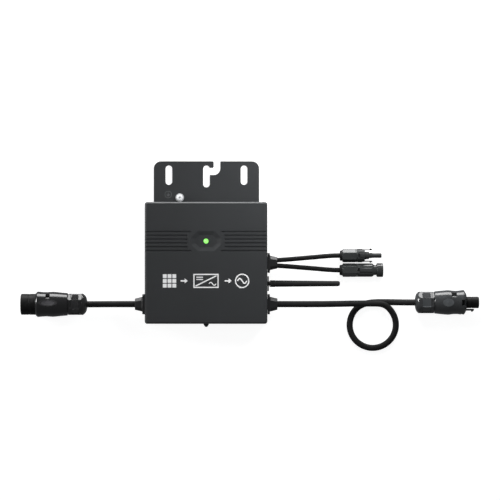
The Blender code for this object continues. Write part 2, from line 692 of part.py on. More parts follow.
def ac_socket():
    """Left trunk connector: open cup in front, contact carrier inside."""
    start = Vector((AC_SOCKET_X, AC_SOCKET_Y, SIDE_AXIS_Z))
    axis = -X_AXIS
    nut_and_seal("ac_socket", start, axis, 8.9 * MM, 25.1 * MM, 15.1 * MM, 11.6 * MM, AC_CABLE_R, 12 * MM)
    turned("ac_socket_body", [
        (23.5 * MM, 0), (23.5 * MM, 10.2 * MM), (12 * MM, 10.2 * MM), (12 * MM, 11.6 * MM),
        (26.0 * MM, 11.6 * MM), (26.0 * MM, 14.4 * MM), (27 * MM, 15.1 * MM),
        (46.2 * MM, 16.9 * MM), (56.2 * MM, 16.4 * MM), (66.3 * MM, 17.1 * MM), (69 * MM, 15.0 * MM),
        (69.2 * MM, 14.1 * MM), (88 * MM, 14.1 * MM), (89.1 * MM, 13.0 * MM), (89.1 * MM, 11.0 * MM),
        (66 * MM, 11.0 * MM), (66 * MM, 0),
    ], start, axis, black_plastic(), 20)
    insert = turned("ac_socket_insert", [
        (66 * MM + GAP, 0), (66 * MM + GAP, 10.6 * MM), (76.5 * MM, 10.6 * MM),
        (77 * MM, 10.1 * MM), (77 * MM, 0),
    ], start, axis, black_plastic(), 20)
    for k in range(3):
        angle = 2 * math.pi * k / 3 + math.pi / 2
        spot = start + axis * 69 * MM + Vector((0, math.cos(angle), math.sin(angle))) * 5.2 * MM
        boolean(insert, tool_rod(f"socket_contact_{k}", spot, axis, 10 * MM, 1.6 * MM, 12))


def ac_plug():
    """Right trunk connector: round nose in front and a sprung latch beside it."""
    start = Vector((AC_PLUG_X, AC_PLUG_Y, SIDE_AXIS_Z))
    axis = X_AXIS
    nut_and_seal("ac_plug", start, axis, 7.7 * MM, 25.0 * MM, 15.4 * MM, 11.6 * MM, AC_CABLE_R, 12 * MM)
    body = turned("ac_plug_body", [
        (23.5 * MM, 0), (23.5 * MM, 10.2 * MM), (12 * MM, 10.2 * MM), (12 * MM, 11.6 * MM),
        (25.9 * MM, 11.6 * MM), (25.9 * MM, 14.3 * MM), (26.6 * MM, 14.9 * MM),
        (45.1 * MM, 16.6 * MM), (54.6 * MM, 15.7 * MM), (65.5 * MM, 16.8 * MM), (68.9 * MM, 11.4 * MM),
        (68.9 * MM, 7.4 * MM), (58 * MM, 7.4 * MM), (58 * MM, 0),
    ], start, axis, black_plastic(), 20)
    pocket_low = (start.x + 61.6 * MM, AC_PLUG_Y - 20 * MM, SIDE_AXIS_Z - 4.6 * MM)
    pocket_high = (start.x + 72 * MM, AC_PLUG_Y - 7.9 * MM, SIDE_AXIS_Z + 4.6 * MM)
    boolean(body, tool_block("latch_pocket", pocket_low, pocket_high))
    turned("ac_plug_insert", [
        (58 * MM + GAP, 0), (58 * MM + GAP, 7.0 * MM), (69.3 * MM, 7.0 * MM), (69.3 * MM, 7.7 * MM),
        (85.2 * MM, 7.7 * MM), (86 * MM, 7.0 * MM), (86 * MM, 5.6 * MM), (76 * MM, 5.6 * MM), (76 * MM, 0),
    ], start, axis, black_plastic(), 20)
    root = start.x + 62.2 * MM
    inner, outer = AC_PLUG_Y - 8.6 * MM, AC_PLUG_Y - 11.0 * MM
    tip = start.x + 79.4 * MM
    outline = [(root, inner), (root, outer), (tip - 3.6 * MM, outer), (tip - 3.4 * MM, outer - 1.4 * MM),
               (tip - 2.2 * MM, outer - 1.4 * MM), (tip, outer + 0.8 * MM), (tip, inner)]
    prism("ac_plug_latch", outline, SIDE_AXIS_Z - 4.1 * MM, SIDE_AXIS_Z + 4.1 * MM, black_plastic())


def dc_plug():
    """Upper panel lead connector: slim nose with two sprung fingers."""
    axis = X_AXIS
    nut_and_seal("dc_plug", DC_PLUG, axis, 4.2 * MM, 23.0 * MM, 9.2 * MM, 7.0 * MM, DC_CABLE_R, 10.5 * MM)
    body = turned("dc_plug_body", [
        (20.3 * MM, 0), (20.3 * MM, 5.7 * MM), (10.5 * MM, 5.7 * MM), (10.5 * MM, 7.0 * MM),
        (23.3 * MM, 7.0 * MM), (23.3 * MM, 9.2 * MM), (33 * MM, 9.2 * MM), (33.6 * MM, 8.6 * MM),
        (33.6 * MM, 4.9 * MM), (39.0 * MM, 4.9 * MM), (39.6 * MM, 3.4 * MM), (43.7 * MM, 3.4 * MM),
        (43.9 * MM, 3.15 * MM), (56.4 * MM, 3.15 * MM), (56.4 * MM, 2.1 * MM),
        (44 * MM, 2.1 * MM), (44 * MM, 0),
    ], DC_PLUG, axis, black_plastic(), 20)
    for name, side in (("upper", 1), ("lower", -1)):
        y0, y1 = sorted((DC_PLUG.y + side * 6.5 * MM, DC_PLUG.y + side * 9.6 * MM))
        pocket_low = (DC_PLUG.x + 30.2 * MM, y0, DC_PLUG.z - 3.4 * MM)
        pocket_high = (DC_PLUG.x + 36 * MM, y1, DC_PLUG.z + 3.4 * MM)
        boolean(body, tool_block(f"finger_pocket_{name}", pocket_low, pocket_high))
        root = DC_PLUG.x + 30.8 * MM
        tip = DC_PLUG.x + 43.7 * MM
        inner, outer = DC_PLUG.y + side * 7.1 * MM, DC_PLUG.y + side * 8.3 * MM
        barb = DC_PLUG.y + side * 9.6 * MM
        outline = [(root, inner), (root, outer), (tip - 3.4 * MM, outer), (tip - 3.2 * MM, barb),
                   (tip - 2.0 * MM, barb), (tip, outer), (tip, inner)]
        low, high = DC_PLUG.z - 2.9 * MM, DC_PLUG.z + 2.9 * MM
        prism(f"dc_plug_finger_{name}", outline, low, high, black_plastic())


def dc_socket():
    """Lower panel lead connector: mouth for the nose and side windows for the fingers."""
    axis = X_AXIS
    nut_and_seal("dc_socket", DC_SOCKET, axis, 4.6 * MM, 23.4 * MM, 9.2 * MM, 7.0 * MM, DC_CABLE_R,
                 10.5 * MM)
    body = turned("dc_socket_body", [
        (20.3 * MM, 0), (20.3 * MM, 5.7 * MM), (10.5 * MM, 5.7 * MM), (10.5 * MM, 7.0 * MM),
        (23.7 * MM, 7.0 * MM), (23.7 * MM, 9.1 * MM), (44.6 * MM, 9.1 * MM), (47 * MM, 7.6 * MM),
        (49.6 * MM, 7.2 * MM), (50.6 * MM, 9.3 * MM), (58.9 * MM, 9.3 * MM), (58.9 * MM, 0),
    ], DC_SOCKET, axis, black_plastic(), 20)
    mouth = DC_SOCKET + axis * 32 * MM
    boolean(body, tool_rod("mouth", mouth, axis, 30 * MM, 5.3 * MM, 20))
    low = (DC_SOCKET.x + 45.4 * MM, DC_SOCKET.y - 8.4 * MM, DC_SOCKET.z - 3.4 * MM)
    high = (DC_SOCKET.x + 60 * MM, DC_SOCKET.y + 8.4 * MM, DC_SOCKET.z + 3.4 * MM)
    boolean(body, tool_block("finger_way", low, high), solver="MANIFOLD")
    well = DC_SOCKET + axis * 26 * MM
    boolean(body, tool_rod("pin_well", well, axis, 8 * MM, 1.9 * MM, 12))
    turned("dc_socket_pin", [
        (26.3 * MM, 0), (26.3 * MM, 1.5 * MM), (32.4 * MM, 1.5 * MM), (32.4 * MM, 1.9 * MM),
        (51 * MM, 1.9 * MM), (52.4 * MM, 1.0 * MM), (52.6 * MM, 0),
    ], DC_SOCKET, axis, tinned_copper(), 16)


# ---------------------------------------------------------------- leads

def lead_start(side):
    return side * (HOUSING_W / 2 + GAP + GLAND_LENGTH + GAP)


def trunk_route():
    """Right trunk lead: out of the gland, once round clockwise, and on into the plug."""
    z = SIDE_AXIS_Z
    lead_in = [(lead_start(1), AC_Y, z), (112 * MM, AC_Y, z), (140 * MM, AC_Y, 17.6 * MM),
               (168 * MM, -55.6 * MM, 17.9 * MM), (192 * MM, -55.1 * MM, 18.0 * MM),
               (210 * MM, -54.9 * MM, 18.0 * MM), (224 * MM, -54.9 * MM, 17.6 * MM)]
    turn = []
    steps = 14
    for k in range(2, steps + 1):
        share = k / (steps + 1)
        angle = math.radians(108) - 2 * math.pi * share
        height = 4.5 * MM + 15.5 * MM * max(0.0, 1 - share / 0.5) ** 1.5
        height += 0.6 * MM * max(0.0, (share - 0.62) / 0.38) ** 2
        x = LOOP_CENTRE.x + LOOP_R * math.cos(angle)
        y = LOOP_CENTRE.y + LOOP_R * math.sin(angle)
        turn.append((x, y, height))
    lead_out = [(238 * MM, -53.3 * MM, 5.2 * MM), (252 * MM, -53.4 * MM, 8.0 * MM),
                (266 * MM, -53.5 * MM, 14.2 * MM), (277 * MM, AC_PLUG_Y, z),
                (290 * MM, AC_PLUG_Y, z), (AC_PLUG_X + 23.2 * MM, AC_PLUG_Y, z)]
    return lead_in + turn + lead_out


def panel_route(exit_y, plug):
    return [(lead_start(1), exit_y, SIDE_AXIS_Z), (108 * MM, exit_y * 1.05, 16.8 * MM),
            (130 * MM, exit_y * 1.2 + plug.y * 0.12, 14.4 * MM),
            (152 * MM, exit_y * 0.6 + plug.y * 0.56, 11.2 * MM),
            (170 * MM, exit_y * 0.06 + plug.y * 0.95, 9.7 * MM),
            (plug.x - 1 * MM, plug.y, plug.z), (plug.x + 10 * MM, plug.y, plug.z),
            (plug.x + 20 * MM, plug.y, plug.z)]


def leads():
    left = [(lead_start(-1), AC_Y, SIDE_AXIS_Z), (-120 * MM, AC_Y, SIDE_AXIS_Z),
            (-145 * MM, -55.9 * MM, SIDE_AXIS_Z), (AC_SOCKET_X, AC_SOCKET_Y, SIDE_AXIS_Z),
            (AC_SOCKET_X - 23.2 * MM, AC_SOCKET_Y, SIDE_AXIS_Z)]
    cord("ac_cable_left", left, AC_CABLE_R, 16 * MM, cable_jacket())
    cord("ac_cable_right", trunk_route(), AC_CABLE_R, 15 * MM, cable_jacket())
    cord("dc_cable_upper", panel_route(DC_EXIT_Y[0], DC_PLUG), DC_CABLE_R, 11 * MM, cable_jacket())
    cord("dc_cable_lower", panel_route(DC_EXIT_Y[1], DC_SOCKET), DC_CABLE_R, 11 * MM, cable_jacket())


def main():
    for obj in list(bpy.data.objects):
        bpy.data.objects.remove(obj)
    front_cover()
    base_plate()
    housing_gasket()
    corner_screws()
    mounting_plate()
    plate_screws()
    ground_terminal()
    light_pipe()
    vent_plug()
    boards()
    transformer()
    capacitors()
    power_stage()
    terminals()
    for name, y, side, width in gland_spots():
        gland(name, y, side, width)
    antenna()
    ac_socket()
    ac_plug()
    dc_plug()
    dc_socket()
    leads()


main()
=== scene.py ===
"""Looks of a module-level micro inverter: coated housing, bracket, glossy connectors and leads.

Lengths are in millimetres. Vertices, curves and cords are turned into metres as they are made.
"""

import json
from math import asin, atan2, ceil, cos, hypot, pi, radians, sin, tan

import bmesh
import bpy
import numpy as np
from mathutils import Matrix, Vector


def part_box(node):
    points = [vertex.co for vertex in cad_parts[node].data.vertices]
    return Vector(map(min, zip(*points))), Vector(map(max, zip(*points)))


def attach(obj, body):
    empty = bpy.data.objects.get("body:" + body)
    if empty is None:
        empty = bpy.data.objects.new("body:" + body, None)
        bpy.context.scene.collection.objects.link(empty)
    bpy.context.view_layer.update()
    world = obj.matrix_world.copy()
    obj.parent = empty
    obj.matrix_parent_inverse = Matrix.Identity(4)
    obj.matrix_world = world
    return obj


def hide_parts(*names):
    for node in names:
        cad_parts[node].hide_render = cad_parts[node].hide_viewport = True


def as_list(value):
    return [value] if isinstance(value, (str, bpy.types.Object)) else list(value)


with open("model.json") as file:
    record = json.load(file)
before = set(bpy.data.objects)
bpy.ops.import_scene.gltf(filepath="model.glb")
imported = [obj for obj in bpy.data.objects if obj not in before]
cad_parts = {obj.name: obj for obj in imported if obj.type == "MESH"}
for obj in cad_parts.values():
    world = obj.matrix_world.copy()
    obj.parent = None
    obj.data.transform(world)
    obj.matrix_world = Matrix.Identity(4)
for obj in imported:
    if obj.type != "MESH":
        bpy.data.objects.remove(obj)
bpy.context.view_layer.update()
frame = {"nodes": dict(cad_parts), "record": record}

MM = 0.001
X_AXIS, Y_AXIS, Z_AXIS = Vector((1, 0, 0)), Vector((0, 1, 0)), Vector((0, 0, 1))
ORIGIN = Vector((0, 0, 0))


def box(node):
    """Lowest and highest corner of a node's box."""
    low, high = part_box(node)
    return low / MM, high / MM


def middle(node):
    """Middle of a node's box: x, y and z."""
    low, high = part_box(node)
    return [v / MM for v in (low + high) / 2]


# Places read from the frame
COVER_LOW, COVER_HIGH = box("front_cover")
PLATE_LOW, PLATE_HIGH = box("mounting_plate")
BASE_LOW = box("base_plate")[0]
LENS_LOW, LENS_HIGH = box("light_pipe")
FACE_Z = COVER_HIGH.z
LED_X, LED_Y, _ = middle("light_pipe")
_, AC_Y, SIDE_Z = middle("ac_gland_right")
GLAND_FACE = COVER_HIGH.x + 0.3


# ---------------- materials

def node_material(name):
    mat = bpy.data.materials.new(name)
    mat.use_nodes = True
    return mat, mat.node_tree, mat.node_tree.nodes["Principled BSDF"]


def noise(tree, coords, size, detail):
    tex = tree.nodes.new("ShaderNodeTexNoise")
    tex.inputs["Scale"].default_value = 1.0 / (size * MM)
    tex.inputs["Detail"].default_value = detail
    tree.links.new(coords, tex.inputs["Vector"])
    return tex.outputs["Fac"]


def spread(tree, value, low, high):
    """Maps the middle of a noise value's range to low and high."""
    ramp = tree.nodes.new("ShaderNodeMapRange")
    for socket, limit in (("From Min", 0.3), ("From Max", 0.7), ("To Min", low), ("To Max", high)):
        ramp.inputs[socket].default_value = limit
    tree.links.new(value, ramp.inputs["Value"])
    return ramp.outputs["Result"]


def blend(tree, value, first, second):
    """Colour that moves between two by a noise value."""
    mix = tree.nodes.new("ShaderNodeMix")
    mix.data_type = "RGBA"
    mix.inputs["A"].default_value = (*first, 1)
    mix.inputs["B"].default_value = (*second, 1)
    tree.links.new(spread(tree, value, 0.0, 1.0), mix.inputs["Factor"])
    return mix.outputs["Result"]


def surface(name, colour, roughness, metallic=0.0, grain=0.4, bump=0.05, mottle=0.1, patch=25,
            rough_spread=0.05, specular=0.5, stretch=(1, 1, 1)):
    """Moulded, coated or metal surface: fine grain in the bump, soft patches in colour and gloss."""
    mat, tree, shader = node_material(name)
    mapping = tree.nodes.new("ShaderNodeMapping")
    mapping.inputs["Scale"].default_value = stretch
    tree.links.new(tree.nodes.new("ShaderNodeTexCoord").outputs["Object"], mapping.inputs["Vector"])
    vector = mapping.outputs["Vector"]
    broad = noise(tree, vector, patch, 4.0)
    fine_grain = noise(tree, vector, grain, 2.0)
    tint = blend(tree, broad, [c * (1 - mottle) for c in colour], [c * (1 + mottle) for c in colour])
    tree.links.new(tint, shader.inputs["Base Color"])
    rough = spread(tree, fine_grain, roughness - rough_spread, roughness + rough_spread)
    tree.links.new(rough, shader.inputs["Roughness"])
    relief = tree.nodes.new("ShaderNodeBump")
    relief.inputs["Strength"].default_value = 1.0
    relief.inputs["Distance"].default_value = bump * MM
    tree.links.new(fine_grain, relief.inputs["Height"])
    tree.links.new(relief.outputs["Normal"], shader.inputs["Normal"])
    shader.inputs["Metallic"].default_value = metallic
    shader.inputs["Specular IOR Level"].default_value = specular
    return mat


def lit_lens():
    """Translucent green dome that glows in two greens."""
    mat, tree, shader = node_material("lit_green_lens")
    cloud = noise(tree, tree.nodes.new("ShaderNodeTexCoord").outputs["Object"], 2, 1.0)
    glow = blend(tree, cloud, (0.22, 0.90, 0.14), (0.46, 1.00, 0.26))
    tree.links.new(glow, shader.inputs["Emission Color"])
    shader.inputs["Base Color"].default_value = (0.15, 0.7, 0.1, 1)
    shader.inputs["Emission Strength"].default_value = 0.9
    shader.inputs["Roughness"].default_value = 0.25
    return mat


POLISHED = {"grain": 0.8, "bump": 0.0008, "patch": 12, "rough_spread": 0.03}
PLATED = {"metallic": 0.12, "grain": 0.25, "bump": 0.004, "mottle": 0.05, "rough_spread": 0.06, "patch": 3}
ERODED = {"grain": 0.25, "bump": 0.020, "mottle": 0.08, "patch": 6, "specular": 0.3}
SHEATH = {"grain": 0.5, "patch": 20, "rough_spread": 0.06, "specular": 0.10}
BLACK = (0.0105, 0.0107, 0.011)

COAT = surface("powder_coat", (0.026, 0.0275, 0.029), 0.46, grain=0.35, bump=0.02, mottle=0.05, patch=60,
               rough_spread=0.06)
PRESSED = surface("pressed_coat", (0.125, 0.129, 0.132), 0.5, grain=0.3, bump=0.01, mottle=0.05)
GLOSS = surface("glossy_black_plastic", BLACK, 0.17, **POLISHED)
GREY_GLOSS = surface("glossy_grey_plastic", (0.031, 0.0325, 0.034), 0.17, **POLISHED)
PANEL_GLOSS = surface("panel_connector_plastic", (0.0225, 0.0240, 0.0240), 0.17, **POLISHED)
PANEL_SATIN = surface("panel_connector_body", (0.0215, 0.0228, 0.0228), 0.42, grain=0.5, bump=0.004,
                      patch=12, specular=0.22)
# Matt black plastic for the cup, nose and antenna foot. The same material is also painted as shade into the
# connector windows and onto the rear collars of the panel-connector nuts.
MATT_AND_SHADE = surface("matt_black_plastic_and_painted_shade", (0.0095, 0.0095, 0.0095), 0.5, grain=0.5, bump=0.012, mottle=0.35,
               patch=4, rough_spread=0.08, specular=0.10)
SLEEVE_RUBBER = surface("antenna_sleeve", (0.0150, 0.0150, 0.0150), 0.6, grain=0.3, bump=0.006, mottle=0.12,
                        patch=10, specular=0.12)
# Grip and panel finishes. The eroded and polished textures are real. Their colours are lighter than the
# plastic around them, a painted sheen standing for light reflected from above.
ERODED_SHEEN = surface("eroded_grip_painted_sheen", (0.055, 0.054, 0.058), 0.6, **ERODED)
GREY_ERODED_SHEEN = surface("eroded_grey_grip_painted_sheen", (0.074, 0.079, 0.083), 0.55, **ERODED)
POLISHED_SHEEN = surface("polished_grip_painted_sheen", (0.030, 0.030, 0.031), 0.22, specular=0.35, **POLISHED)
GREY_PANEL_SHEEN = surface("polished_grey_panel_painted_sheen", (0.070, 0.075, 0.079), 0.22, mottle=0.06, specular=0.35,
                     **POLISHED)
SATIN = surface("satin_black_plastic", BLACK, 0.38, grain=0.3, bump=0.008, patch=10, specular=0.4)
JACKET = surface("trunk_cable_jacket", (0.0135, 0.0135, 0.0137), 0.55, bump=0.020, mottle=0.15, **SHEATH)
PANEL_JACKET = surface("panel_cable_jacket", (0.0085, 0.0085, 0.0085), 0.55, bump=0.006, mottle=0.08,
                       **SHEATH)
RUBBER = surface("seal_rubber", (0.012, 0.012, 0.012), 0.7, grain=0.3, bump=0.03, mottle=0.15)
BRIGHT = surface("zinc_plated_steel", (0.80, 0.81, 0.82), 0.42, **PLATED)
WASHER = surface("dull_zinc_washer", (0.42, 0.43, 0.44), 0.5, **PLATED)
CONTACT = surface("tin_plated_contact", (0.70, 0.67, 0.60), 0.3, metallic=1.0, grain=0.2, bump=0.004)
INK = surface("white_print", (0.80, 0.80, 0.80), 0.45, grain=0.15, bump=0.004, mottle=0.02)
LENS = lit_lens()
LAMINATE = surface("board_laminate", (0.02, 0.15, 0.06), 0.4, grain=0.5, bump=0.01, mottle=0.2)
FERRITE = surface("ferrite", (0.04, 0.04, 0.045), 0.6, grain=0.2, bump=0.02, mottle=0.15)
COPPER = surface("enamelled_copper", (0.50, 0.20, 0.08), 0.3, metallic=0.9, bump=0.06, stretch=(1, 1, 8))
SLEEVE = surface("capacitor_sleeve", (0.02, 0.035, 0.10), 0.3, bump=0.01)
MOULDED = surface("moulded_component", (0.035, 0.05, 0.07), 0.5, grain=0.3, bump=0.02)

SLOT_MATERIAL = {
    "housing_coat": COAT, "plate_coat": COAT, "seal_rubber": RUBBER, "bright_steel": BRIGHT,
    "green_lens": LENS, "board_laminate": LAMINATE, "ferrite": FERRITE, "winding_wire": COPPER,
    "capacitor_sleeve": SLEEVE, "component_plastic": MOULDED, "gland_plastic": SATIN,
    "antenna_rubber": SATIN, "cable_jacket": JACKET, "connector_plastic": GLOSS, "contact_metal": CONTACT,
}


def dress_cad_nodes():
    """Every CAD node gets the finish of its slot, so no plain CAD colour is left."""
    slots = {part["node"]: part["material_slot"] for part in frame["record"]["subparts"]}
    for name, obj in frame["nodes"].items():
        for index in range(max(1, len(obj.material_slots))):
            if not obj.material_slots:
                obj.data.materials.append(SLOT_MATERIAL[slots[name]])
            obj.material_slots[index].material = SLOT_MATERIAL[slots[name]]


# ---------------- outlines

def rounded(points, radius, steps=6, closed=True):
    """Polygon or polyline with each corner replaced by an arc; radius is one value or one each."""
    count = len(points)
    radii = radius if isinstance(radius, (list, tuple)) else [radius] * count
    result = []
    for i, r in enumerate(radii):
        corner = Vector(points[i])
        if r < 1e-4 or (not closed and i in (0, count - 1)):
            result.append(tuple(corner))
            continue
        before = Vector(points[i - 1]) - corner
        after = Vector(points[(i + 1) % count]) - corner
        half = before.angle(after) / 2
        if half > radians(89.5):
            result.append(tuple(corner))
            continue
        reach = min(r / tan(half), before.length * 0.49, after.length * 0.49)
        bend = reach * tan(half)
        before.normalize()
        after.normalize()
        centre = corner + (before + after).normalized() * (bend / sin(half))
        start = corner + before * reach - centre
        turn = pi - 2 * half
        if before.x * after.y - before.y * after.x > 0:
            turn = -turn
        for k in range(steps + 1):
            result.append(tuple(centre + Matrix.Rotation(turn * k / steps, 2) @ start))
    return result


def rectangle(x0, x1, y0, y1, radius=0.0, steps=6):
    return rounded([(x0, y0), (x1, y0), (x1, y1), (x0, y1)], radius, steps)


def centred(width, height, radius=0.0, steps=6, centre=(0.0, 0.0)):
    cx, cy = centre
    return rectangle(cx - width / 2, cx + width / 2, cy - height / 2, cy + height / 2, radius, steps)


def arc(x, y, r, start, end, steps):
    """Points on an arc about (x, y) from one angle to another."""
    angles = [start + (end - start) * k / steps for k in range(steps + 1)]
    return [(x + r * cos(a), y + r * sin(a)) for a in angles]


def octagon(x, y, flat_x, flat_y):
    """Corners at x and y from the middle, with each flat reaching flat_x or flat_y from it."""
    return [(flat_x, -y), (x, -flat_y), (x, flat_y), (flat_x, y),
            (-flat_x, y), (-x, flat_y), (-x, -flat_y), (-flat_x, -y)]


def stroke(points, width):
    """Outline of a line of even width through the points."""
    left, right = [], []
    for i, p in enumerate(points):
        a = Vector(points[max(i - 1, 0)])
        b = Vector(points[min(i + 1, len(points) - 1)])
        along = (b - a).normalized()
        across = Vector((-along.y, along.x)) * width / 2
        left.append(tuple(Vector(p) + across))
        right.append(tuple(Vector(p) - across))
    return left + right[::-1]


# ---------------- solids

def add(name, data):
    """New object in the scene."""
    obj = bpy.data.objects.new(name, data)
    bpy.context.scene.collection.objects.link(obj)
    return obj


def link(name, bm, mat, sharp=30.0):
    """Object made from the bmesh, smooth except at edges sharper than the angle."""
    bmesh.ops.remove_doubles(bm, verts=bm.verts, dist=1e-7)
    bmesh.ops.recalc_face_normals(bm, faces=bm.faces)
    mesh = bpy.data.meshes.new(name)
    bm.to_mesh(mesh)
    bm.free()
    mesh.materials.append(mat)
    mesh.shade_smooth()
    mesh.set_sharp_from_angle(angle=radians(sharp))
    return add(name, mesh)


def across(axis):
    """The two directions across an axis: Y and Z for the X axes, X and Z for Y, X and Y for Z."""
    if abs(axis.x) > 0.5:
        return Y_AXIS, Z_AXIS
    if abs(axis.y) > 0.5:
        return X_AXIS, Z_AXIS
    return X_AXIS, Y_AXIS


def loft(name, sections, axis, origin, mat, sharp=30.0):
    """Closed solid through outlines of equal point counts: sections are (offset, outline)."""
    u, v = across(axis)
    bm = bmesh.new()
    rings = [[bm.verts.new((origin + axis * s + u * a + v * b) * MM) for a, b in outline]
             for s, outline in sections]
    for low, high in zip(rings, rings[1:]):
        for i in range(len(low)):
            j = (i + 1) % len(low)
            bm.faces.new((low[i], low[j], high[j], high[i]))
    bm.faces.new(rings[0])
    bm.faces.new(rings[-1])
    return link(name, bm, mat, sharp)


def stack(name, sections, mat=COAT):
    """Solid through outlines at the heights given, as (z, outline)."""
    return loft(name, sections, Z_AXIS, ORIGIN, mat)


def prism(name, outline, z0, z1, mat=COAT):
    return stack(name, [(z0, outline), (z1, outline)], mat)


def block(name, low, high, mat=COAT):
    return prism(name, rectangle(low[0], high[0], low[1], high[1]), low[2], high[2], mat)


def fine(profile, step):
    """Profile with extra points, so that no stretch is longer than step."""
    points = [profile[0]]
    for a, b in zip(profile, profile[1:]):
        # Counted in metres, where rounding settles which even stretches get one more point.
        pieces = max(1, ceil(abs(b[0] * MM - a[0] * MM) / (step * MM)))
        for k in range(1, pieces + 1):
            t = k / pieces
            points.append((a[0] + (b[0] - a[0]) * t, a[1] + (b[1] - a[1]) * t))
    return points


def turned(name, profile, origin, axis, mat, sides=72, shape=None, sharp=28.0):
    """Solid of revolution from (offset, radius) points; shape(offset, radius, angle) may vary the radius."""
    u, v = across(axis)
    bm = bmesh.new()
    rings = []
    for s, r in profile:
        centre = origin + axis * s
        if r < 1e-5:
            rings.append([bm.verts.new(centre * MM)])
            continue
        ring = []
        for k in range(sides):
            a = 2 * pi * k / sides
            radius = shape(s, r, a) if shape else r
            ring.append(bm.verts.new((centre + (u * cos(a) + v * sin(a)) * radius) * MM))
        rings.append(ring)
    pairs = list(zip(rings, rings[1:]))
    if len(rings[0]) > 1:
        pairs.append((rings[-1], rings[0]))
    for low, high in pairs:
        for k in range(sides):
            n = (k + 1) % sides
            if len(low) == 1:
                bm.faces.new((low[0], high[n], high[k]))
            elif len(high) == 1:
                bm.faces.new((low[k], low[n], high[0]))
            else:
                bm.faces.new((low[k], low[n], high[n], high[k]))
    return link(name, bm, mat, sharp)


def cut(obj, *tools, operation="DIFFERENCE"):
    """Applies booleans and removes the tools."""
    for tool in tools:
        modifier = obj.modifiers.new("cut", "BOOLEAN")
        modifier.object = tool
        modifier.operation = operation
        modifier.solver = "EXACT"
        bake(obj)
        bpy.data.objects.remove(tool)
    return obj


def bake(obj):
    """Applies the object's modifiers to its mesh."""
    graph = bpy.context.evaluated_depsgraph_get()
    mesh = bpy.data.meshes.new_from_object(obj.evaluated_get(graph), depsgraph=graph)
    obj.modifiers.clear()
    obj.data = mesh


def soften(obj, width, segments=2, angle=35.0):
    """Small rounded edges, then normals weighted to the flat faces."""
    bevel = obj.modifiers.new("edge", "BEVEL")
    bevel.width = width * MM
    bevel.segments = segments
    bevel.limit_method = "ANGLE"
    bevel.angle_limit = radians(angle)
    bake(obj)
    return even(obj)


def even(obj, sharp=30.0):
    obj.data.shade_smooth()
    obj.data.set_sharp_from_angle(angle=radians(sharp))
    weighted = obj.modifiers.new("weighted", "WEIGHTED_NORMAL")
    weighted.keep_sharp = True
    weighted.weight = 50
    return obj


def below(top, *points):
    """Profile points given as (distance below the top, radius)."""
    return [(top - drop, radius) for drop, radius in points]


def rod(name, origin, axis, length, radius, sides=32):
    return turned(name, [(0, 0), (0, radius), (length, radius), (length, 0)], origin, axis, COAT, sides)


def on_floor(spot, z=0):
    return Vector((spot[0], spot[1], z))


def place(obj, body, slot, *nodes):
    """Rides the piece on a body and hides the CAD nodes that it stands for; the slot is not used."""
    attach(obj, body)
    if nodes:
        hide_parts(*nodes)
    return obj


# ---------------- camera

def camera():
    """Long lens straight above the part."""
    data = bpy.data.cameras.new("camera")
    data.lens = 160
    data.sensor_width = 36
    data.clip_end = 20
    obj = add("camera", data)
    obj.location = Vector((59.1, 17.3, 3017.0)) * MM
    bpy.context.scene.camera = obj


# ---------------- leads

AC_CABLE_R = 4.25
DC_CABLE_R = 3.2
AC_SOCKET = Vector((-160.7, -56.0, SIDE_Z))      # cable ends of the four connectors
AC_PLUG = Vector((281.8, -53.5, SIDE_Z))
DC_PLUG = Vector((180.7, 9.8, 9.5))
DC_SOCKET = Vector((180.3, -9.9, 9.5))
DC_EXIT_Y = (3.4, -3.7)
IN_TRUNK_NUT = 23.2       # how far the trunk leads run into their connectors
IN_GLAND = 2.2            # how far inside its gland every lead begins
LEAD_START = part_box("ac_gland_right")[1].x / MM - IN_GLAND
LEFT_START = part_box("ac_gland_left")[0].x / MM + IN_GLAND
LOOP_CENTRE = Vector((225.4, -84.2))
LOOP_R = 31.2


def smooth_curve(points, spacing):
    """Points at even spacing on the natural cubic spline through the given points."""
    pts = np.array(points)
    count = len(pts)
    chord = np.linalg.norm(np.diff(pts, axis=0), axis=1)
    t = np.concatenate([[0], np.cumsum(chord)])
    matrix = np.eye(count)
    right = np.zeros((count, 3))
    for i in range(1, count - 1):
        matrix[i, i - 1:i + 2] = chord[i - 1], 2 * (chord[i - 1] + chord[i]), chord[i]
        right[i] = 6 * ((pts[i + 1] - pts[i]) / chord[i] - (pts[i] - pts[i - 1]) / chord[i - 1])
    second = np.linalg.solve(matrix, right)

    def at(s):
        i = min(int(np.searchsorted(t, s, side="right")) - 1, count - 2)
        a, b, h = t[i + 1] - s, s - t[i], chord[i]
        return (second[i] * a ** 3 / (6 * h) + second[i + 1] * b ** 3 / (6 * h)
                + (pts[i] / h - second[i] * h / 6) * a + (pts[i + 1] / h - second[i + 1] * h / 6) * b)

    steps = max(2, round(t[-1] / spacing))
    return [at(t[-1] * k / steps) for k in range(steps + 1)]


def lead_curve(name, points, radius, mat):
    """Round lead through the points, its line in metres and the line's length."""
    line = smooth_curve([[v * MM for v in point] for point in points], 3.0 * MM)
    data = bpy.data.curves.new(name, "CURVE")
    data.dimensions = "3D"
    data.bevel_depth = radius * MM
    data.bevel_resolution = 8
    data.use_fill_caps = True
    spline = data.splines.new("POLY")
    spline.points.add(len(line) - 1)
    for point, spot in zip(spline.points, line):
        point.co = (*spot, 1)
    spline.use_smooth = True
    data.materials.append(mat)
    return add(name, data), line, sum(float(np.linalg.norm(b - a)) for a, b in zip(line, line[1:]))


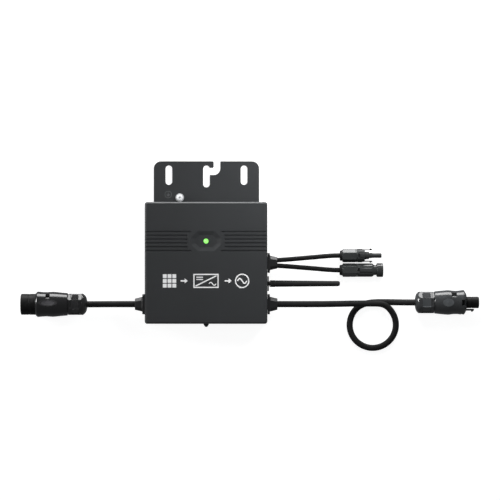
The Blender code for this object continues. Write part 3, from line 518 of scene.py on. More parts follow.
def trunk_route():
    """Right trunk lead: out of the gland, once round clockwise, and on into the plug."""
    z = SIDE_Z
    lead_in = [(LEAD_START, AC_Y, z), (100, AC_Y, z), (112, AC_Y, z), (140, AC_Y, 17.6), (168, -55.6, 17.9),
               (192, -55.1, 18.0), (210, -54.9, 18.0), (224, -54.9, 17.6)]
    turn = []
    steps = 14
    for k in range(2, steps + 1):
        share = k / (steps + 1)
        angle = radians(108) - 2 * pi * share
        height = 4.5 + 15.5 * max(0.0, 1 - share / 0.5) ** 1.5       # sinks in the first half of the turn
        height += 0.6 * max(0.0, (share - 0.62) / 0.38) ** 2         # and rises a little near its end
        turn.append((LOOP_CENTRE.x + LOOP_R * cos(angle), LOOP_CENTRE.y + LOOP_R * sin(angle), height))
    lead_out = [(238, -53.3, 5.2), (252, -53.4, 8.0), (266, -53.5, 14.2), (277, AC_PLUG.y, z),
                (290, AC_PLUG.y, z), (AC_PLUG.x + IN_TRUNK_NUT, AC_PLUG.y, z)]
    return lead_in + turn + lead_out


def panel_route(exit_y, plug):
    """Panel lead: nearly straight from the gland, sinking to the floor, then into its connector."""
    points = [(LEAD_START, exit_y, SIDE_Z)]
    for x, share, z in ((108, 0.15, 16.8), (130, 0.44, 14.4), (152, 0.74, 11.2), (170, 0.96, 9.7)):
        points.append((x, exit_y + (plug.y - exit_y) * share, z))
    return points + [(plug.x + x, plug.y, plug.z) for x in (-1, 10, 20)]


def left_route():
    points = [(x, y, SIDE_Z) for x, y in ((LEFT_START, AC_Y), (-100, AC_Y), (-120, AC_Y), (-145, -55.9))]
    x, y, z = [v / MM for v in AC_SOCKET * MM]      # with the rounding that the place has in metres
    return points + [(x, y, z), (x - IN_TRUNK_NUT, y, SIDE_Z)]


def leads(ends):
    """Every lead is made as a round curve; ends holds the pieces of the connector on each."""
    trunk = (AC_CABLE_R, JACKET, "stiff")
    panel = (DC_CABLE_R, PANEL_JACKET, "medium")
    for node, route, (radius, mat, stiffness) in (
        ("ac_cable_left", left_route(), trunk),
        ("ac_cable_right", trunk_route(), trunk),
        ("dc_cable_upper", panel_route(DC_EXIT_Y[0], DC_PLUG), panel),
        ("dc_cable_lower", panel_route(DC_EXIT_Y[1], DC_SOCKET), panel),
    ):
        obj, line, length = lead_curve(f"{node}_lead", route, radius, mat)
        place(obj, "root", "cable_jacket", node)
        [float(v) for v in line[0]]
        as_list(ends[node])


# ---------------- housing

# Steep sloping edge with softened ends: depth below the face and distance in from the side.
EDGE_PROFILE = ((3.3, 0.0), (2.8, 0.06), (2.4, 0.22), (0.75, 1.25), (0.45, 1.45), (0.2, 1.72), (0.05, 2.1),
                (0.0, 2.5))
WALL = 2.5                # side walls of the cover
ROOF = 3                  # its front, of which the dish leaves about 1
DISH_DEPTH = 1.9
GROOVE_PITCH = 5.12
GROOVE_DROP = 0.4         # the rows of grooves sit this much below the middle of the dish
PAD_HALF = 14             # half the width of the flat pads behind the glands


def housing_outline(inset=0.0):
    width = COVER_HIGH.x - COVER_LOW.x
    height = COVER_HIGH.y - COVER_LOW.y
    return centred(width - 2 * inset, height - 2 * inset, max(3.5 - inset, 1.0), 8)


def cavity_outline():
    x, y, corner = COVER_HIGH.x - WALL, COVER_HIGH.y - WALL, 11
    return octagon(x, y, x - corner, y - corner)


def dish_outline(grow):
    """Elongated octagon with soft corners round the indicator."""
    corners = octagon(14.0 + grow, 8.0 + grow * 0.8, 8.5 + grow * 0.4, 3.2 + grow * 0.15)
    return [(a, b + LED_Y) for a, b in rounded(corners, 3.0 + grow * 0.3, 6)]


def groove_cutter(index, y, side, gap):
    """Channel with a round end towards the dish, a flat floor and softened lips."""
    outer = COVER_HIGH.x + 4
    sections = []
    for z, half in ((-1.2, 0.80), (-1.05, 1.02), (-0.35, 1.18), (-0.08, 1.28), (0.0, 1.48), (0.6, 2.4)):
        outline = [(outer, y + half), (outer, y - half)]
        outline += [(gap + 1.2 - a, b) for a, b in arc(0, y, half, -pi / 2, pi / 2, 12)]
        sections.append((FACE_Z + z, [(side * a, b) for a, b in outline]))
    return stack(f"groove_{index}_{side}", sections)


def grooves():
    tools = []
    for i in range(6):
        offset = (i - 2.5) * GROOVE_PITCH - GROOVE_DROP
        gap = 24.6 if abs(offset) < 10 else 20.0
        for side in (-1, 1):
            tools.append(groove_cutter(i, LED_Y + offset, side, gap))
    return tools


def gland_pad(name, y, side):
    """Flat pad on the side wall that the gland seals against."""
    low, high = sorted((side * (COVER_HIGH.x - 7), side * COVER_HIGH.x))
    top = FACE_Z - 0.25
    sections = []
    for z, inset in ((COVER_LOW.z + 2, 0), (top - 0.5, 0), (top - 0.15, 0.15), (top, 0.5)):
        outline = rectangle(low + (inset if side < 0 else 0), high - (inset if side > 0 else 0),
                            y - PAD_HALF + inset, y + PAD_HALF - inset, 0.8, 4)
        sections.append((z, outline))
    return stack(name, sections)


def front_cover():
    sections = [(COVER_LOW.z, housing_outline(0.25)), (COVER_LOW.z + 0.25, housing_outline())]
    sections += [(FACE_Z - drop, housing_outline(inset)) for drop, inset in EDGE_PROFILE]
    shell = stack("housing_front", sections)
    cut(shell, gland_pad("pad_dc", 0.0, 1), gland_pad("pad_right", AC_Y, 1), gland_pad("pad_left", AC_Y, -1),
        operation="UNION")
    cut(shell, prism("cavity", cavity_outline(), COVER_LOW.z - 1, FACE_Z - ROOF))
    cut(shell, *grooves())
    rings = ((-DISH_DEPTH, 0.0), (-DISH_DEPTH + 0.04, 0.5), (-0.06, 6.5), (0, 7.0), (1, 8.9))
    cut(shell, stack("dish", [(FACE_Z + z, dish_outline(grow)) for z, grow in rings]))
    lens_hole = turned("lens_hole", [(-5, 0), (-5, 3.3), (-0.15, 3.3), (0.05, 3.5), (1, 4.3), (1, 0)],
                       Vector((LED_X, LED_Y, FACE_Z - DISH_DEPTH)), Z_AXIS, COAT, 64)
    cut(shell, lens_hole)
    for node, y, side, half in (("dc_gland", 0.0, 1, 8.7), ("ac_gland_right", AC_Y, 1, 7.7),
                                ("ac_gland_left", AC_Y, -1, 7.7)):
        low, high = sorted((side * (COVER_HIGH.x - 6), side * (COVER_HIGH.x + 1)))
        cut(shell, block(f"{node}_way", (low, y - half, SIDE_Z - 6.2), (high, y + half, SIDE_Z + 6.2)))
    antenna_start = Vector((COVER_HIGH.x - 6, middle("antenna_base")[1], SIDE_Z))
    cut(shell, rod("antenna_way", antenna_start, X_AXIS, 8, 3.4),
        rod("vent_way", Vector((0, COVER_LOW.y - 1, SIDE_Z)), Y_AXIS, 8, 2.4))
    even(shell, 25)
    return place(shell, "root", "housing_coat", "front_cover")


def base_tray():
    """Tray under the gasket, with its edge rounded, four board posts and the screw holes."""
    levels = ((BASE_LOW.z, 0.6), (BASE_LOW.z + 0.2, 0.2), (BASE_LOW.z + 0.6, 0), (5.3, 0), (5.5, 0.2))
    tray = stack("housing_back", [(z, housing_outline(inset)) for z, inset in levels])
    post = [(5.0, 0), (5.0, 3.2), (9.7, 3.2), (9.7, 1.2), (12.6, 1.2), (12.6, 0)]
    for x in (-62, 62):
        for y in (-40, 40):
            cut(tray, turned("board_post", post, Vector((x, y, 0)), Z_AXIS, COAT, 24), operation="UNION")
    for i in range(1, 5):
        spot = on_floor(middle(f"base_screw_{i}"))
        cut(tray, rod(f"hole_{i}", spot, Z_AXIS, 9, 2.0), rod(f"sink_{i}", spot, Z_AXIS, 4.2, 3.4))
        cut(tray, rod(f"tap_{i}", on_floor(middle(f"plate_screw_{i}")), Z_AXIS, 9, 2.0))
    even(tray)
    return place(tray, "root", "housing_coat", "base_plate")


def seal_ring():
    ring = prism("housing_seal", housing_outline(0.8), 5.8, 6.7, RUBBER)
    cut(ring, prism("window", cavity_outline(), 5, 8, RUBBER))
    for i in range(1, 5):
        cut(ring, rod(f"pass_{i}", on_floor(middle(f"base_screw_{i}"), 5), Z_AXIS, 3, 2.0))
    return place(ring, "root", "seal_rubber", "housing_gasket")


def indicator():
    """Light pipe: foot, flange under the roof, and a small dome."""
    foot, ledge = LENS_LOW.z, 27.4
    profile = [(foot, 0), (foot, 2.0), (ledge, 2.0), (ledge, 4.6), (ledge + 1.3, 4.6), (ledge + 1.3, 1.9)]
    profile += below(LENS_HIGH.z, (0.9, 1.9), (0.6, 1.8), (0.3, 1.55), (0.1, 1.1), (0, 0.5), (0, 0))
    lens = turned("indicator_lens", profile, Vector((LED_X, LED_Y, 0)), Z_AXIS, LENS, 64)
    return place(lens, "root", "green_lens", "light_pipe")


def vent():
    plug = turned("breather", [
        (-5, 0), (-5, 1.9), (0.3, 1.9), (0.3, 3.45), (0.5, 3.6), (1.2, 3.55), (1.7, 3.3), (3.2, 2.4),
        (4.0, 1.7), (4.4, 1.1), (4.6, 0.4), (4.6, 0),
    ], Vector((0, COVER_LOW.y, SIDE_Z)), -Y_AXIS, SATIN, 64)
    return place(plug, "root", "gland_plastic", "vent_plug")


# ---------------- mounting plate

SLOT_HALF = 4.5


def plate_outline():
    """Plate with the slot that opens through its top edge."""
    w, top, bottom = PLATE_HIGH.x, PLATE_HIGH.y, PLATE_LOW.y
    entry = (9.8, 18.8)
    channel = (119.1, 128.8)

    def corner(before, at, after, radius, steps):
        return rounded([before, at, after], [0, radius, 0], steps)[1:-1]

    outline = corner((-w, 0), (-w, bottom), (0, bottom), 5, 8)
    outline += corner((0, bottom), (w, bottom), (w, 0), 5, 8)
    outline += corner((w, 0), (w, top), (0, top), 10, 10)
    outline += corner((w, top), (entry[1], top), (entry[1], 100), 0.6, 4)
    outline += arc(entry[0], channel[0] + 9, 9, 0, -pi / 2, 12)
    outline.append((SLOT_HALF, channel[0]))
    outline += arc(0, 102.3 + SLOT_HALF, SLOT_HALF, 0, -pi, 16)
    head = 132.0 - SLOT_HALF
    outline += arc(0, head, SLOT_HALF, pi, asin((channel[1] - head) / SLOT_HALF), 16)
    outline += rounded([(SLOT_HALF, channel[1]), (entry[0], channel[1]), (entry[0], top), (SLOT_HALF, top)],
                       [0, 1.5, 2.0, 0], 6)[1:-1]
    return outline + corner((0, top), (-w, top), (-w, 0), 10, 10)


def slot_outline(x):
    return (arc(x, 132.0 - SLOT_HALF, SLOT_HALF, 0, pi, 16)
            + arc(x, 105.7 + SLOT_HALF, SLOT_HALF, pi, 2 * pi, 16))


def earth_mark():
    """Faint raised protective earth symbol: a circle with a stem and three bars."""
    x, y = -51.8, 92.6
    z0, z1 = PLATE_HIGH.z - 0.02, PLATE_HIGH.z + 0.06
    ring = turned("earth_ring", [(z0, 4.3), (z0, 4.75), (z1, 4.75), (z1, 4.3)], Vector((x, y, 0)), Z_AXIS,
                  PRESSED, 64)
    parts = [ring, block("earth_stem", (x - 0.25, y - 0.4, z0), (x + 0.25, y + 2.8, z1), PRESSED)]
    for k, half in enumerate((2.6, 1.7, 0.8)):
        low, high = (x - half, y - 0.6 - k, z0), (x + half, y - 0.1 - k, z1)
        parts.append(block(f"earth_bar_{k}", low, high, PRESSED))
    for part in parts:
        place(part, "root", "plate_coat")


def mounting_plate():
    plate = prism("bracket", plate_outline(), PLATE_LOW.z, PLATE_HIGH.z)
    for side in (-1, 1):
        cut(plate, prism(f"slot_{side}", slot_outline(side * 51.0), -1, 4))
    cut(plate, rod("ground_hole", on_floor(middle("ground_washer"), -1), Z_AXIS, 5, 2.4))
    soften(plate, 0.35, 3)
    plate.modifiers.clear()
    for i in range(1, 5):
        sink = turned(f"plate_sink_{i}", [(-1, 0), (-1, 3.9), (0.9, 3.9), (2.4, 2.1), (4, 2.1), (4, 0)],
                      on_floor(middle(f"plate_screw_{i}")), Z_AXIS, COAT, 32)
        cut(plate, sink)
    even(plate)
    place(plate, "root", "plate_coat", "mounting_plate")
    earth_mark()


def ground_terminal():
    low, high = box("ground_washer")
    spot = on_floor((low + high) / 2)
    outer = (high.x - low.x) / 2
    washer = turned("earth_washer", [
        (low.z, 2.4), (low.z, outer - 0.2), (low.z + 0.2, outer), (high.z - 0.25, outer),
        (high.z, outer - 0.3), (high.z, 2.7), (high.z - 0.2, 2.4),
    ], spot, Z_AXIS, WASHER, 72)
    place(washer, "ground_washer_body", "bright_steel", "ground_washer")

    seat = high.z + 0.3
    low, high = box("ground_screw")
    top = high.z
    profile = [(low.z, 0), (low.z, 1.5), (low.z + 0.4, 1.9), (seat, 1.9), (seat, 3.95), (seat + 0.15, 4.1)]
    profile += below(top, (1.1, 4.1), (0.6, 3.95), (0.25, 3.5), (0.05, 2.6), (0, 1.5), (0, 0))
    screw = turned("earth_screw", profile, spot, Z_AXIS, BRIGHT, 72)
    for k, (a, b) in enumerate(((4.4, 0.95), (0.95, 4.4))):
        sections = [(top + z, centred(a * share, b * share, 0, 3, spot.xy))
                    for z, share in ((-1.6, 0.55), (0.5, 1.08))]
        cut(screw, stack(f"cross_{k}", sections, BRIGHT))
    even(screw)
    place(screw, "ground_screw_body", "bright_steel", "ground_screw")


# ---------------- glands and antenna

def nose_outline(w, h, corner):
    """Rectangle with wide sloping corners, softened where the flats meet."""
    return rounded(octagon(w / 2, h / 2, w / 2 - corner, h / 2 - corner), 0.7, 3)


def flange(width, height, insets):
    """Sections of a flange with softened edges, from (offset, inset) pairs."""
    return [(s, centred(width - 2 * inset, height - 2 * inset, 3, 8)) for s, inset in insets]


def gland(node, y, side, width, bores):
    """Moulded gland: flange with soft edges, tapered nose with sloping corners, and a spigot."""
    start = Vector((side * GLAND_FACE, y, SIDE_Z))
    axis = X_AXIS * side
    body = loft(f"{node}_body", flange(27, 24, ((0, 0.3), (0.25, 0), (2.5, 0), (2.85, 0.2), (3.0, 0.6))),
                axis, start, SATIN, 40)
    nose = [(s, nose_outline(w, h, c)) for s, w, h, c in (
        (2.0, 21.2, 19.4, 4.6), (3.05, 21.2, 19.4, 4.6), (3.3, 20.2, 18.4, 4.5), (3.9, 19.4, 17.5, 4.5),
        (5.0, 19.0, 17.2, 4.5), (12.2, 15.7, 14.2, 4.0), (12.8, 15.3, 13.8, 3.9), (13.15, 14.9, 13.3, 3.8),
        (13.3, 14.4, 12.7, 3.7))]
    spigot = centred(width, 11.8, 2, 4)
    cut(body, loft("nose", nose, axis, start, SATIN),
        loft("spigot", [(-6, spigot), (1, spigot)], axis, start, SATIN), operation="UNION")
    for centre, radius in bores:
        bore = [(9, 0), (9, radius), (15, radius), (15, 0)]
        cut(body, turned("bore", bore, Vector((start.x, centre, SIDE_Z)), axis, SATIN, 48))
    even(body, 40)
    return place(body, "root", "gland_plastic", node)


def antenna():
    """Square foot with a threaded stem; the knurled collar and the rod screw on to it."""
    start = Vector((GLAND_FACE, middle("antenna_base")[1], SIDE_Z))
    line = Vector((0, start.y, SIDE_Z))
    base = loft("antenna_foot", flange(20, 20, ((0, 0.2), (0.2, 0), (1.3, 0), (1.6, 0.2), (1.7, 0.5))),
                X_AXIS, start, MATT_AND_SHADE, 40)
    cut(base, turned("stem", [(-7, 0), (-7, 3.0), (1, 3.0), (1, 2.4), (7.2, 2.4), (7.2, 0)],
                     start, X_AXIS, SATIN, 48), operation="UNION")
    even(base, 35)
    place(base, "root", "gland_plastic", "antenna_base")

    low, high = box("antenna_collar")

    def knurl(s, r, a):
        if not (low.x + 1 <= s <= high.x - 1) or r < 4.0:
            return r
        return r - 0.22 * (0.5 + 0.5 * cos(36 * a))

    root, end = low.x, high.x
    collar = turned("antenna_ring", fine([
        (root, 2.9), (root, 4.3), (root + 0.3, 4.6), (end - 0.5, 4.6), (end - 0.1, 4.3), (end, 4.0),
        (end, 2.5), (end - 2.2, 2.5), (end - 2.2, 2.9),
    ], 0.5), line, X_AXIS, SLEEVE_RUBBER, 216, knurl)
    place(collar, "antenna_body", "antenna_rubber", "antenna_collar")

    root, tip = (corner.x for corner in box("antenna_whip"))
    profile = [(root, 0), (root, 2.1), (root + 2.05, 2.1), (root + 2.05, 4.2), (root + 2.6, 4.4),
               (116.4, 4.2), (116.6, 4.04), (116.9, 4.04), (117.1, 4.16)]
    profile += below(tip, (2.6, 3.6), (1.7, 3.4), (0.9, 2.86), (0.35, 2.0), (0.06, 0.9), (0, 0))
    whip = turned("antenna_rod", profile, line, X_AXIS, SLEEVE_RUBBER, 64)
    place(whip, "antenna_body", "antenna_rubber", "antenna_whip")


# ---------------- connectors

SHAPE_STEP = 0.5          # spacing of the rings that a shaped profile is divided into
AC_SKIN = 12.5            # a trunk body is its outer skin beyond this radius, and its bore inside it
BODY_SHARP = 28           # crease angle of the connector bodies, in degrees
BACK, FRONT = radians(270), radians(90)


def hump(x, centre, half, soft):
    """1 within half of the centre, falling smoothly to 0 over soft."""
    d = abs(x - centre) - half
    if d <= 0:
        return 1.0
    if d >= soft:
        return 0.0
    return 0.5 + 0.5 * cos(pi * d / soft)


def turn_gap(a, b):
    """Smallest angle between two directions."""
    return abs((a - b + pi) % (2 * pi) - pi)


def facet_angle(a, count):
    """Angle from the middle of the nearest of count flats, one of which faces +Z."""
    pitch = 2 * pi / count
    return (a - pi / 2 + pitch / 2) % pitch - pitch / 2


def paint(obj, start, axis, mat, inside):
    """Second finish on the faces where inside(offset, radius, angle) is true."""
    obj.data.materials.append(mat)
    u, v = across(axis)
    for face in obj.data.polygons:
        spot = face.center / MM - start
        offset, a, b = spot.dot(axis), spot.dot(u), spot.dot(v)
        if inside(offset, hypot(a, b), atan2(b, a)):
            face.material_index = len(obj.data.materials) - 1


def plastic(obj, node, body="root"):
    """Rides a moulded piece of a connector on its body."""
    return place(obj, body, "connector_plastic", node)


def compression_nut(node, start, axis, profile, grip, mat, sides):
    nut = turned(f"{node}_shell", fine(profile, SHAPE_STEP), start, axis, mat, sides, grip)
    return plastic(nut, node, f"{node}_body")


def nut_bore(dome, end, wall, hole):
    """Inside of a nut from its open front back to the cable hole; the wall is thin round the seal."""
    return [(end, wall), (dome * 0.7, wall), (dome * 0.45, hole + 1.4), (dome * 0.45, hole)]


def ac_grip(flat, low, high, half):
    """Eight-sided grip from low to high with a sunk panel on each flat, and three fine rings in front."""
    hollow, wall = 6.5, 12.6      # radii inside which the profile is the nut's bore
    shift = 0.6                   # the panels sit a little to one side of the flats

    def shape(s, r, a):
        if r < hollow:
            return r
        facet = facet_angle(a, 8)
        beside = facet * r
        level = min(r, (flat if s > low - 5 else flat + 0.6) / cos(facet))
        if r < wall and s > low:
            level = r
        sunk = hump(s, (low + high) / 2, (high - low) / 2, 0.3) * hump(beside, shift, half + 0.5, 0.3)
        level -= (0.70 + 0.14 * beside) * sunk
        for k in range(3):
            level -= 0.22 * hump(s, high + 1.3 + k, 0.1, 0.4) * hump(beside, 0, half, 0.6)
        return level

    # Painted sheen: where this is true, on every second flat counting from the front one, the panel gets a
    # lighter colour that stands for reflected light.
    def panel(s, r, a):
        beside = abs(facet_angle(a, 8) * r - shift)
        every_second = abs(facet_angle(a, 4)) < pi / 8
        return r > 12.2 and every_second and beside < half + 0.7 and low - 0.2 < s < high + 0.2

    return shape, panel


def ac_nut(node, start, axis, outer, dome, end, grip, mat, sheen_panel_mat):
    """Steep rounded shoulder behind a straight grip."""
    hole = 4.7
    profile = [(0, hole), (0, 5.4)]
    for share, radius in ((0.02, 6.2), (0.07, 8.2), (0.14, 9.9), (0.28, 11.8), (0.45, 13.25), (0.62, 14.3),
                          (0.78, 14.85), (0.9, 15.05)):
        profile.append((dome * share, radius * outer / 15.1))
    profile += [(dome, outer), (end - 0.5, outer), (end - 0.15, outer - 0.15), (end, outer - 0.5)]
    shape, panel = grip
    nut = compression_nut(node, start, axis, profile + nut_bore(dome, end, 12.1, hole), shape, mat, 192)
    # Painted sheen: lighter colour on the panels of every second flat.
    paint(nut, start, axis, sheen_panel_mat, panel)
    return nut


def thumb_scoops(centre, half_long, half_wide, turn):
    """Measure that is below 1 inside the scoops on the front and back of a trunk connector."""
    faces = (FRONT + turn, BACK + turn)

    def reach(s, r, a):
        beside = min(turn_gap(a, face) for face in faces) * r
        return hypot((s - centre) / half_long, beside / half_wide)

    return reach


def side_windows(s, a, centre, half):
    """Depth of the two windows on opposite corners of a trunk connector."""
    depth = 0
    for side in (radians(47), radians(227)):
        depth += 4.0 * hump(s, centre, half, 0.3) * hump(turn_gap(a, side), 0, 0.24, 0.03)
    return depth


def ac_socket():
    """Left trunk connector: grip nut, waisted body with a thumb scoop, and an open cup."""
    axis = -X_AXIS
    nut = ac_nut("ac_socket_nut", AC_SOCKET, axis, 15.1, 8.9, 25.1, ac_grip(14.15, 11.5, 20.0, 4.7),
                 GLOSS, POLISHED_SHEEN)
    scoop = thumb_scoops(51.8, 12.6, 4.6, -radians(8))
    cup_edge = 69.2

    def body_shape(s, r, a):
        if r < AC_SKIN:
            return r
        r -= 0.7 * hump(scoop(s, r, a), 0, 0.35, 0.65)
        r -= 0.45 * hump(s, 78.3, 0.2, 0.4)
        return r - side_windows(s, a, 52.6, 2.4)

    body = turned("ac_socket_housing", fine([
        (23.5, 0), (23.5, 10.2), (12, 10.2), (12, 11.6), (26.0, 11.6), (26.0, 14.2), (26.15, 14.7),
        (26.5, 15.05), (27.2, 15.2), (33, 15.7), (40, 16.4), (44.5, 16.85), (46.2, 16.9), (49.5, 16.7),
        (53, 16.45), (56.2, 16.4), (60, 16.6), (63.5, 16.95), (65.6, 17.15), (66.4, 17.15), (67.0, 16.95),
        (68.2, 15.9), (68.9, 15.1), (69.15, 14.7), (69.3, 14.2), (69.6, 14.1), (87.9, 14.1), (88.5, 13.95),
        (88.9, 13.6), (89.1, 13.1), (89.1, 11.4), (88.7, 11.0), (66, 11.0), (66, 0),
    ], SHAPE_STEP), AC_SOCKET, axis, GLOSS, 160, body_shape)
    paint(body, AC_SOCKET, axis, MATT_AND_SHADE, lambda s, r, a: s > cup_edge)
    # Painted sheen: the thumb scoop is painted lighter, with a polished ring around an eroded middle, for
    # light it reflects from above. Its eroded texture is real.
    paint(body, AC_SOCKET, axis, POLISHED_SHEEN, lambda s, r, a: r > AC_SKIN and scoop(s, r, a) < 1.0)
    paint(body, AC_SOCKET, axis, ERODED_SHEEN, lambda s, r, a: r > AC_SKIN and scoop(s, r, a) < 0.7)
    plastic(body, "ac_socket_body")

    insert = turned("ac_socket_carrier", [
        (66.3, 0), (66.3, 10.6), (76.2, 10.6), (76.7, 10.4), (77, 10.1), (77, 0),
    ], AC_SOCKET, axis, SATIN, 64)
    for k in range(3):
        a = 2 * pi * k / 3 + pi / 2
        spot = AC_SOCKET + axis * 69 + Vector((0, cos(a), sin(a))) * 5.2
        cut(insert, rod("contact_way", spot, axis, 10, 1.6))
    even(insert)
    plastic(insert, "ac_socket_insert")
    return [nut, body, insert, frame["nodes"]["ac_socket_seal"]]


def ac_plug():
    """Right trunk connector: grip nut, waisted body with window and pocket, round nose and latch."""
    axis = X_AXIS
    nut = ac_nut("ac_plug_nut", AC_PLUG, axis, 15.4, 7.7, 25.0, ac_grip(14.4, 9.6, 20.2, 4.7),
                 GREY_GLOSS, GREY_PANEL_SHEEN)
    scoop = thumb_scoops(44.0, 8.6, 6.4, -radians(1))
    window_at, window_turn = 64.0, radians(91)

    def body_shape(s, r, a):
        if r < AC_SKIN:
            return r
        r -= 0.7 * hump(scoop(s, r, a), 0, 0.35, 0.65)
        r -= 4.0 * hump(s, window_at, 1.5, 0.25) * hump(turn_gap(a, window_turn) * r, 0, 3.6, 0.25)
        return r - side_windows(s, a, 52.1, 3.2)

    # Painted shade: the floor of the window is painted matt black, standing for the dark inside of an open
    # window.
    def window(s, r, a):
        return abs(s - window_at) < 1.75 and turn_gap(a, window_turn) * 16.8 < 3.9

    body = turned("ac_plug_housing", fine([
        (23.5, 0), (23.5, 10.2), (12, 10.2), (12, 11.6), (25.9, 11.6), (25.9, 14.1), (26.05, 14.6),
        (26.4, 14.9), (32, 15.6), (39, 16.25), (44, 16.6), (45.1, 16.6), (48, 16.25), (51, 15.85),
        (54.6, 15.7), (58, 15.85), (61.5, 16.3), (64.4, 16.8), (65.3, 16.8), (65.9, 16.5), (66.6, 15.6),
        (68.0, 13.2), (68.7, 12.0), (68.9, 11.4), (68.9, 7.7), (68.6, 7.4), (58, 7.4), (58, 0),
    ], SHAPE_STEP), AC_PLUG, axis, GREY_GLOSS, 160, body_shape)
    # Painted sheen: the thumb scoop is painted a lighter grey for light it reflects from above. Its eroded
    # texture is real.
    paint(body, AC_PLUG, axis, GREY_ERODED_SHEEN, lambda s, r, a: r > AC_SKIN and scoop(s, r, a) < 0.85)
    # Painted shade in the window.
    paint(body, AC_PLUG, axis, MATT_AND_SHADE, window)
    low = AC_PLUG + Vector((61.6, -20, -4.6))
    high = AC_PLUG + Vector((72, -7.9, 4.6))
    cut(body, block("latch_pocket", low, high, GLOSS))
    even(body, BODY_SHARP)
    plastic(body, "ac_plug_body")

    nose = turned("ac_plug_nose", fine([
        (58.3, 0), (58.3, 7.0), (69.3, 7.0), (69.3, 7.6), (69.5, 7.7), (76.0, 7.7), (76.2, 7.45),
        (77.0, 7.45), (77.2, 7.7), (84.9, 7.7), (85.5, 7.5), (85.9, 7.1), (86, 6.7), (86, 5.8), (85.7, 5.6),
        (76, 5.6), (76, 0),
    ], 1.0), AC_PLUG, axis, MATT_AND_SHADE, 96)
    plastic(nose, "ac_plug_insert")
    latch = barbed("ac_plug_catch", AC_PLUG, (62.2, 79.4), (-8.6, -11.0, -12.4, -10.2), (3.6, 3.4, 2.2),
                   (0.2, 0.2, 0.3, 0.3, 0.5, 0.4, 0.4), 4, 4.1, 0.2)
    plastic(latch, "ac_plug_latch", "ac_plug_latch_body")
    return [nut, body, nose, latch, frame["nodes"]["ac_plug_seal"]]


def barbed(name, start, ends, levels, barb, radii, steps, half, edge):
    """Flat arm with a barb near its tip: ends along X, levels across (inner, outer, barb, tip)."""
    root, tip = start.x + ends[0], start.x + ends[1]
    inner, outer, crest, nib = (start.y + level for level in levels)
    rise, top, fall = barb
    outline = rounded([(root, inner), (root, outer), (tip - rise, outer), (tip - top, crest),
                       (tip - fall, crest), (tip, nib), (tip, inner)], radii, steps)
    arm = prism(name, outline, start.z - half, start.z + half, GLOSS)
    return soften(arm, edge, 2, 50)


def dc_nut(node, start, dome, end, turn):
    """Round collar, a short shoulder, then six flats with softened corners, turned by an angle."""
    outer, hole = 9.2, 3.6
    profile = [(0, hole), (0, 5.8), (0.15, 6.3), (0.5, 6.75), (1.0, 7.0), (dome - 1.3, 7.1),
               (dome - 1.0, 7.3), (dome - 0.3, outer - 0.5), (dome + 0.1, outer - 0.1), (dome + 0.5, outer),
               (end - 0.4, outer), (end - 0.1, outer - 0.12), (end, outer - 0.4)]

    def shape(s, r, a):
        if r < 7.9:
            return r
        r = min(r, 8.15 / cos(facet_angle(a - turn, 6)))
        return r - 0.3 * hump(s, 21.7, 0.2, 0.3)

    profile += nut_bore(dome, end, 7.5, hole)
    nut = compression_nut(node, start, X_AXIS, profile, shape, PANEL_GLOSS, 144)
    # Painted shade: the rear collar behind the nut's shoulder is painted matt black, darker than the rest of
    # the nut.
    paint(nut, start, X_AXIS, MATT_AND_SHADE, lambda s, r, a: r > 5 and s < 3.1)
    return nut


LATCH_WINDOW = 25.7       # place of the small window just past the nut of a panel connector


# Painted shade: the floor of the small window is painted matt black, standing for the dark inside it.
def latch_window_shade(s, r, a):
    return r > 6 and abs(s - LATCH_WINDOW) < 1.35 and turn_gap(a, FRONT) < 0.28


def latch_window_depth(s, a):
    return 1.2 * hump(s, LATCH_WINDOW, 1.1, 0.2) * hump(turn_gap(a, FRONT), 0, 0.25, 0.03)


def dc_plug():
    """Upper panel connector: faceted nut, stepped body, slim nose with an o-ring, two fingers."""
    nut = dc_nut("dc_plug_nut", DC_PLUG, 4.2, 23.0, 0.10)

    def body_shape(s, r, a):
        if r < 8.0:
            return r
        for face in (FRONT, BACK):
            r -= 0.5 * hump(s, 28.4, 3.4, 0.4) * hump(turn_gap(a, face) * r, 3.4, 0.5, 0.4)
        return r - latch_window_depth(s, a)

    body = turned("dc_plug_housing", fine([
        (20.3, 0), (20.3, 5.7), (10.5, 5.7), (10.5, 7.0), (23.3, 7.0), (23.3, 8.9), (23.6, 9.2),
        (32.5, 9.2), (33.1, 9.0), (33.5, 8.6), (33.6, 8.2), (33.6, 4.9), (34.4, 4.9), (34.5, 5.2),
        (34.9, 5.35), (35.3, 5.2), (35.4, 4.9), (38.7, 4.9), (39.1, 4.7), (39.6, 3.7), (39.8, 3.4),
        (40.6, 3.4), (40.75, 3.62), (41.1, 3.7), (41.5, 3.62), (41.7, 3.4), (43.5, 3.4), (43.9, 3.15),
        (55.9, 3.15), (56.25, 3.0), (56.4, 2.7), (56.4, 2.3), (56.2, 2.1), (44, 2.1), (44, 0),
    ], SHAPE_STEP), DC_PLUG, X_AXIS, PANEL_SATIN, 144, body_shape)
    # Painted shade in the small window.
    paint(body, DC_PLUG, X_AXIS, MATT_AND_SHADE, latch_window_shade)
    fingers = []
    for name, side in (("upper", 1), ("lower", -1)):
        y0, y1 = sorted((side * 6.5, side * 9.6))
        low, high = DC_PLUG + Vector((30.2, y0, -3.4)), DC_PLUG + Vector((36, y1, 3.4))
        cut(body, block(f"pocket_{name}", low, high, GLOSS))
        levels = [side * level for level in (7.1, 8.3, 9.6, 8.3)]
        finger = barbed(f"dc_plug_catch_{name}", DC_PLUG, (30.8, 43.7), levels, (3.4, 3.2, 2.0),
                        (0.1, 0.1, 0.2, 0.2, 0.4, 0.3, 0.3), 3, 2.9, 0.15)
        plastic(finger, f"dc_plug_finger_{name}", f"dc_plug_finger_{name}_body")
        fingers.append(finger)
    even(body, BODY_SHARP)
    plastic(body, "dc_plug_body")
    return [nut, body, frame["nodes"]["dc_plug_seal"]] + fingers


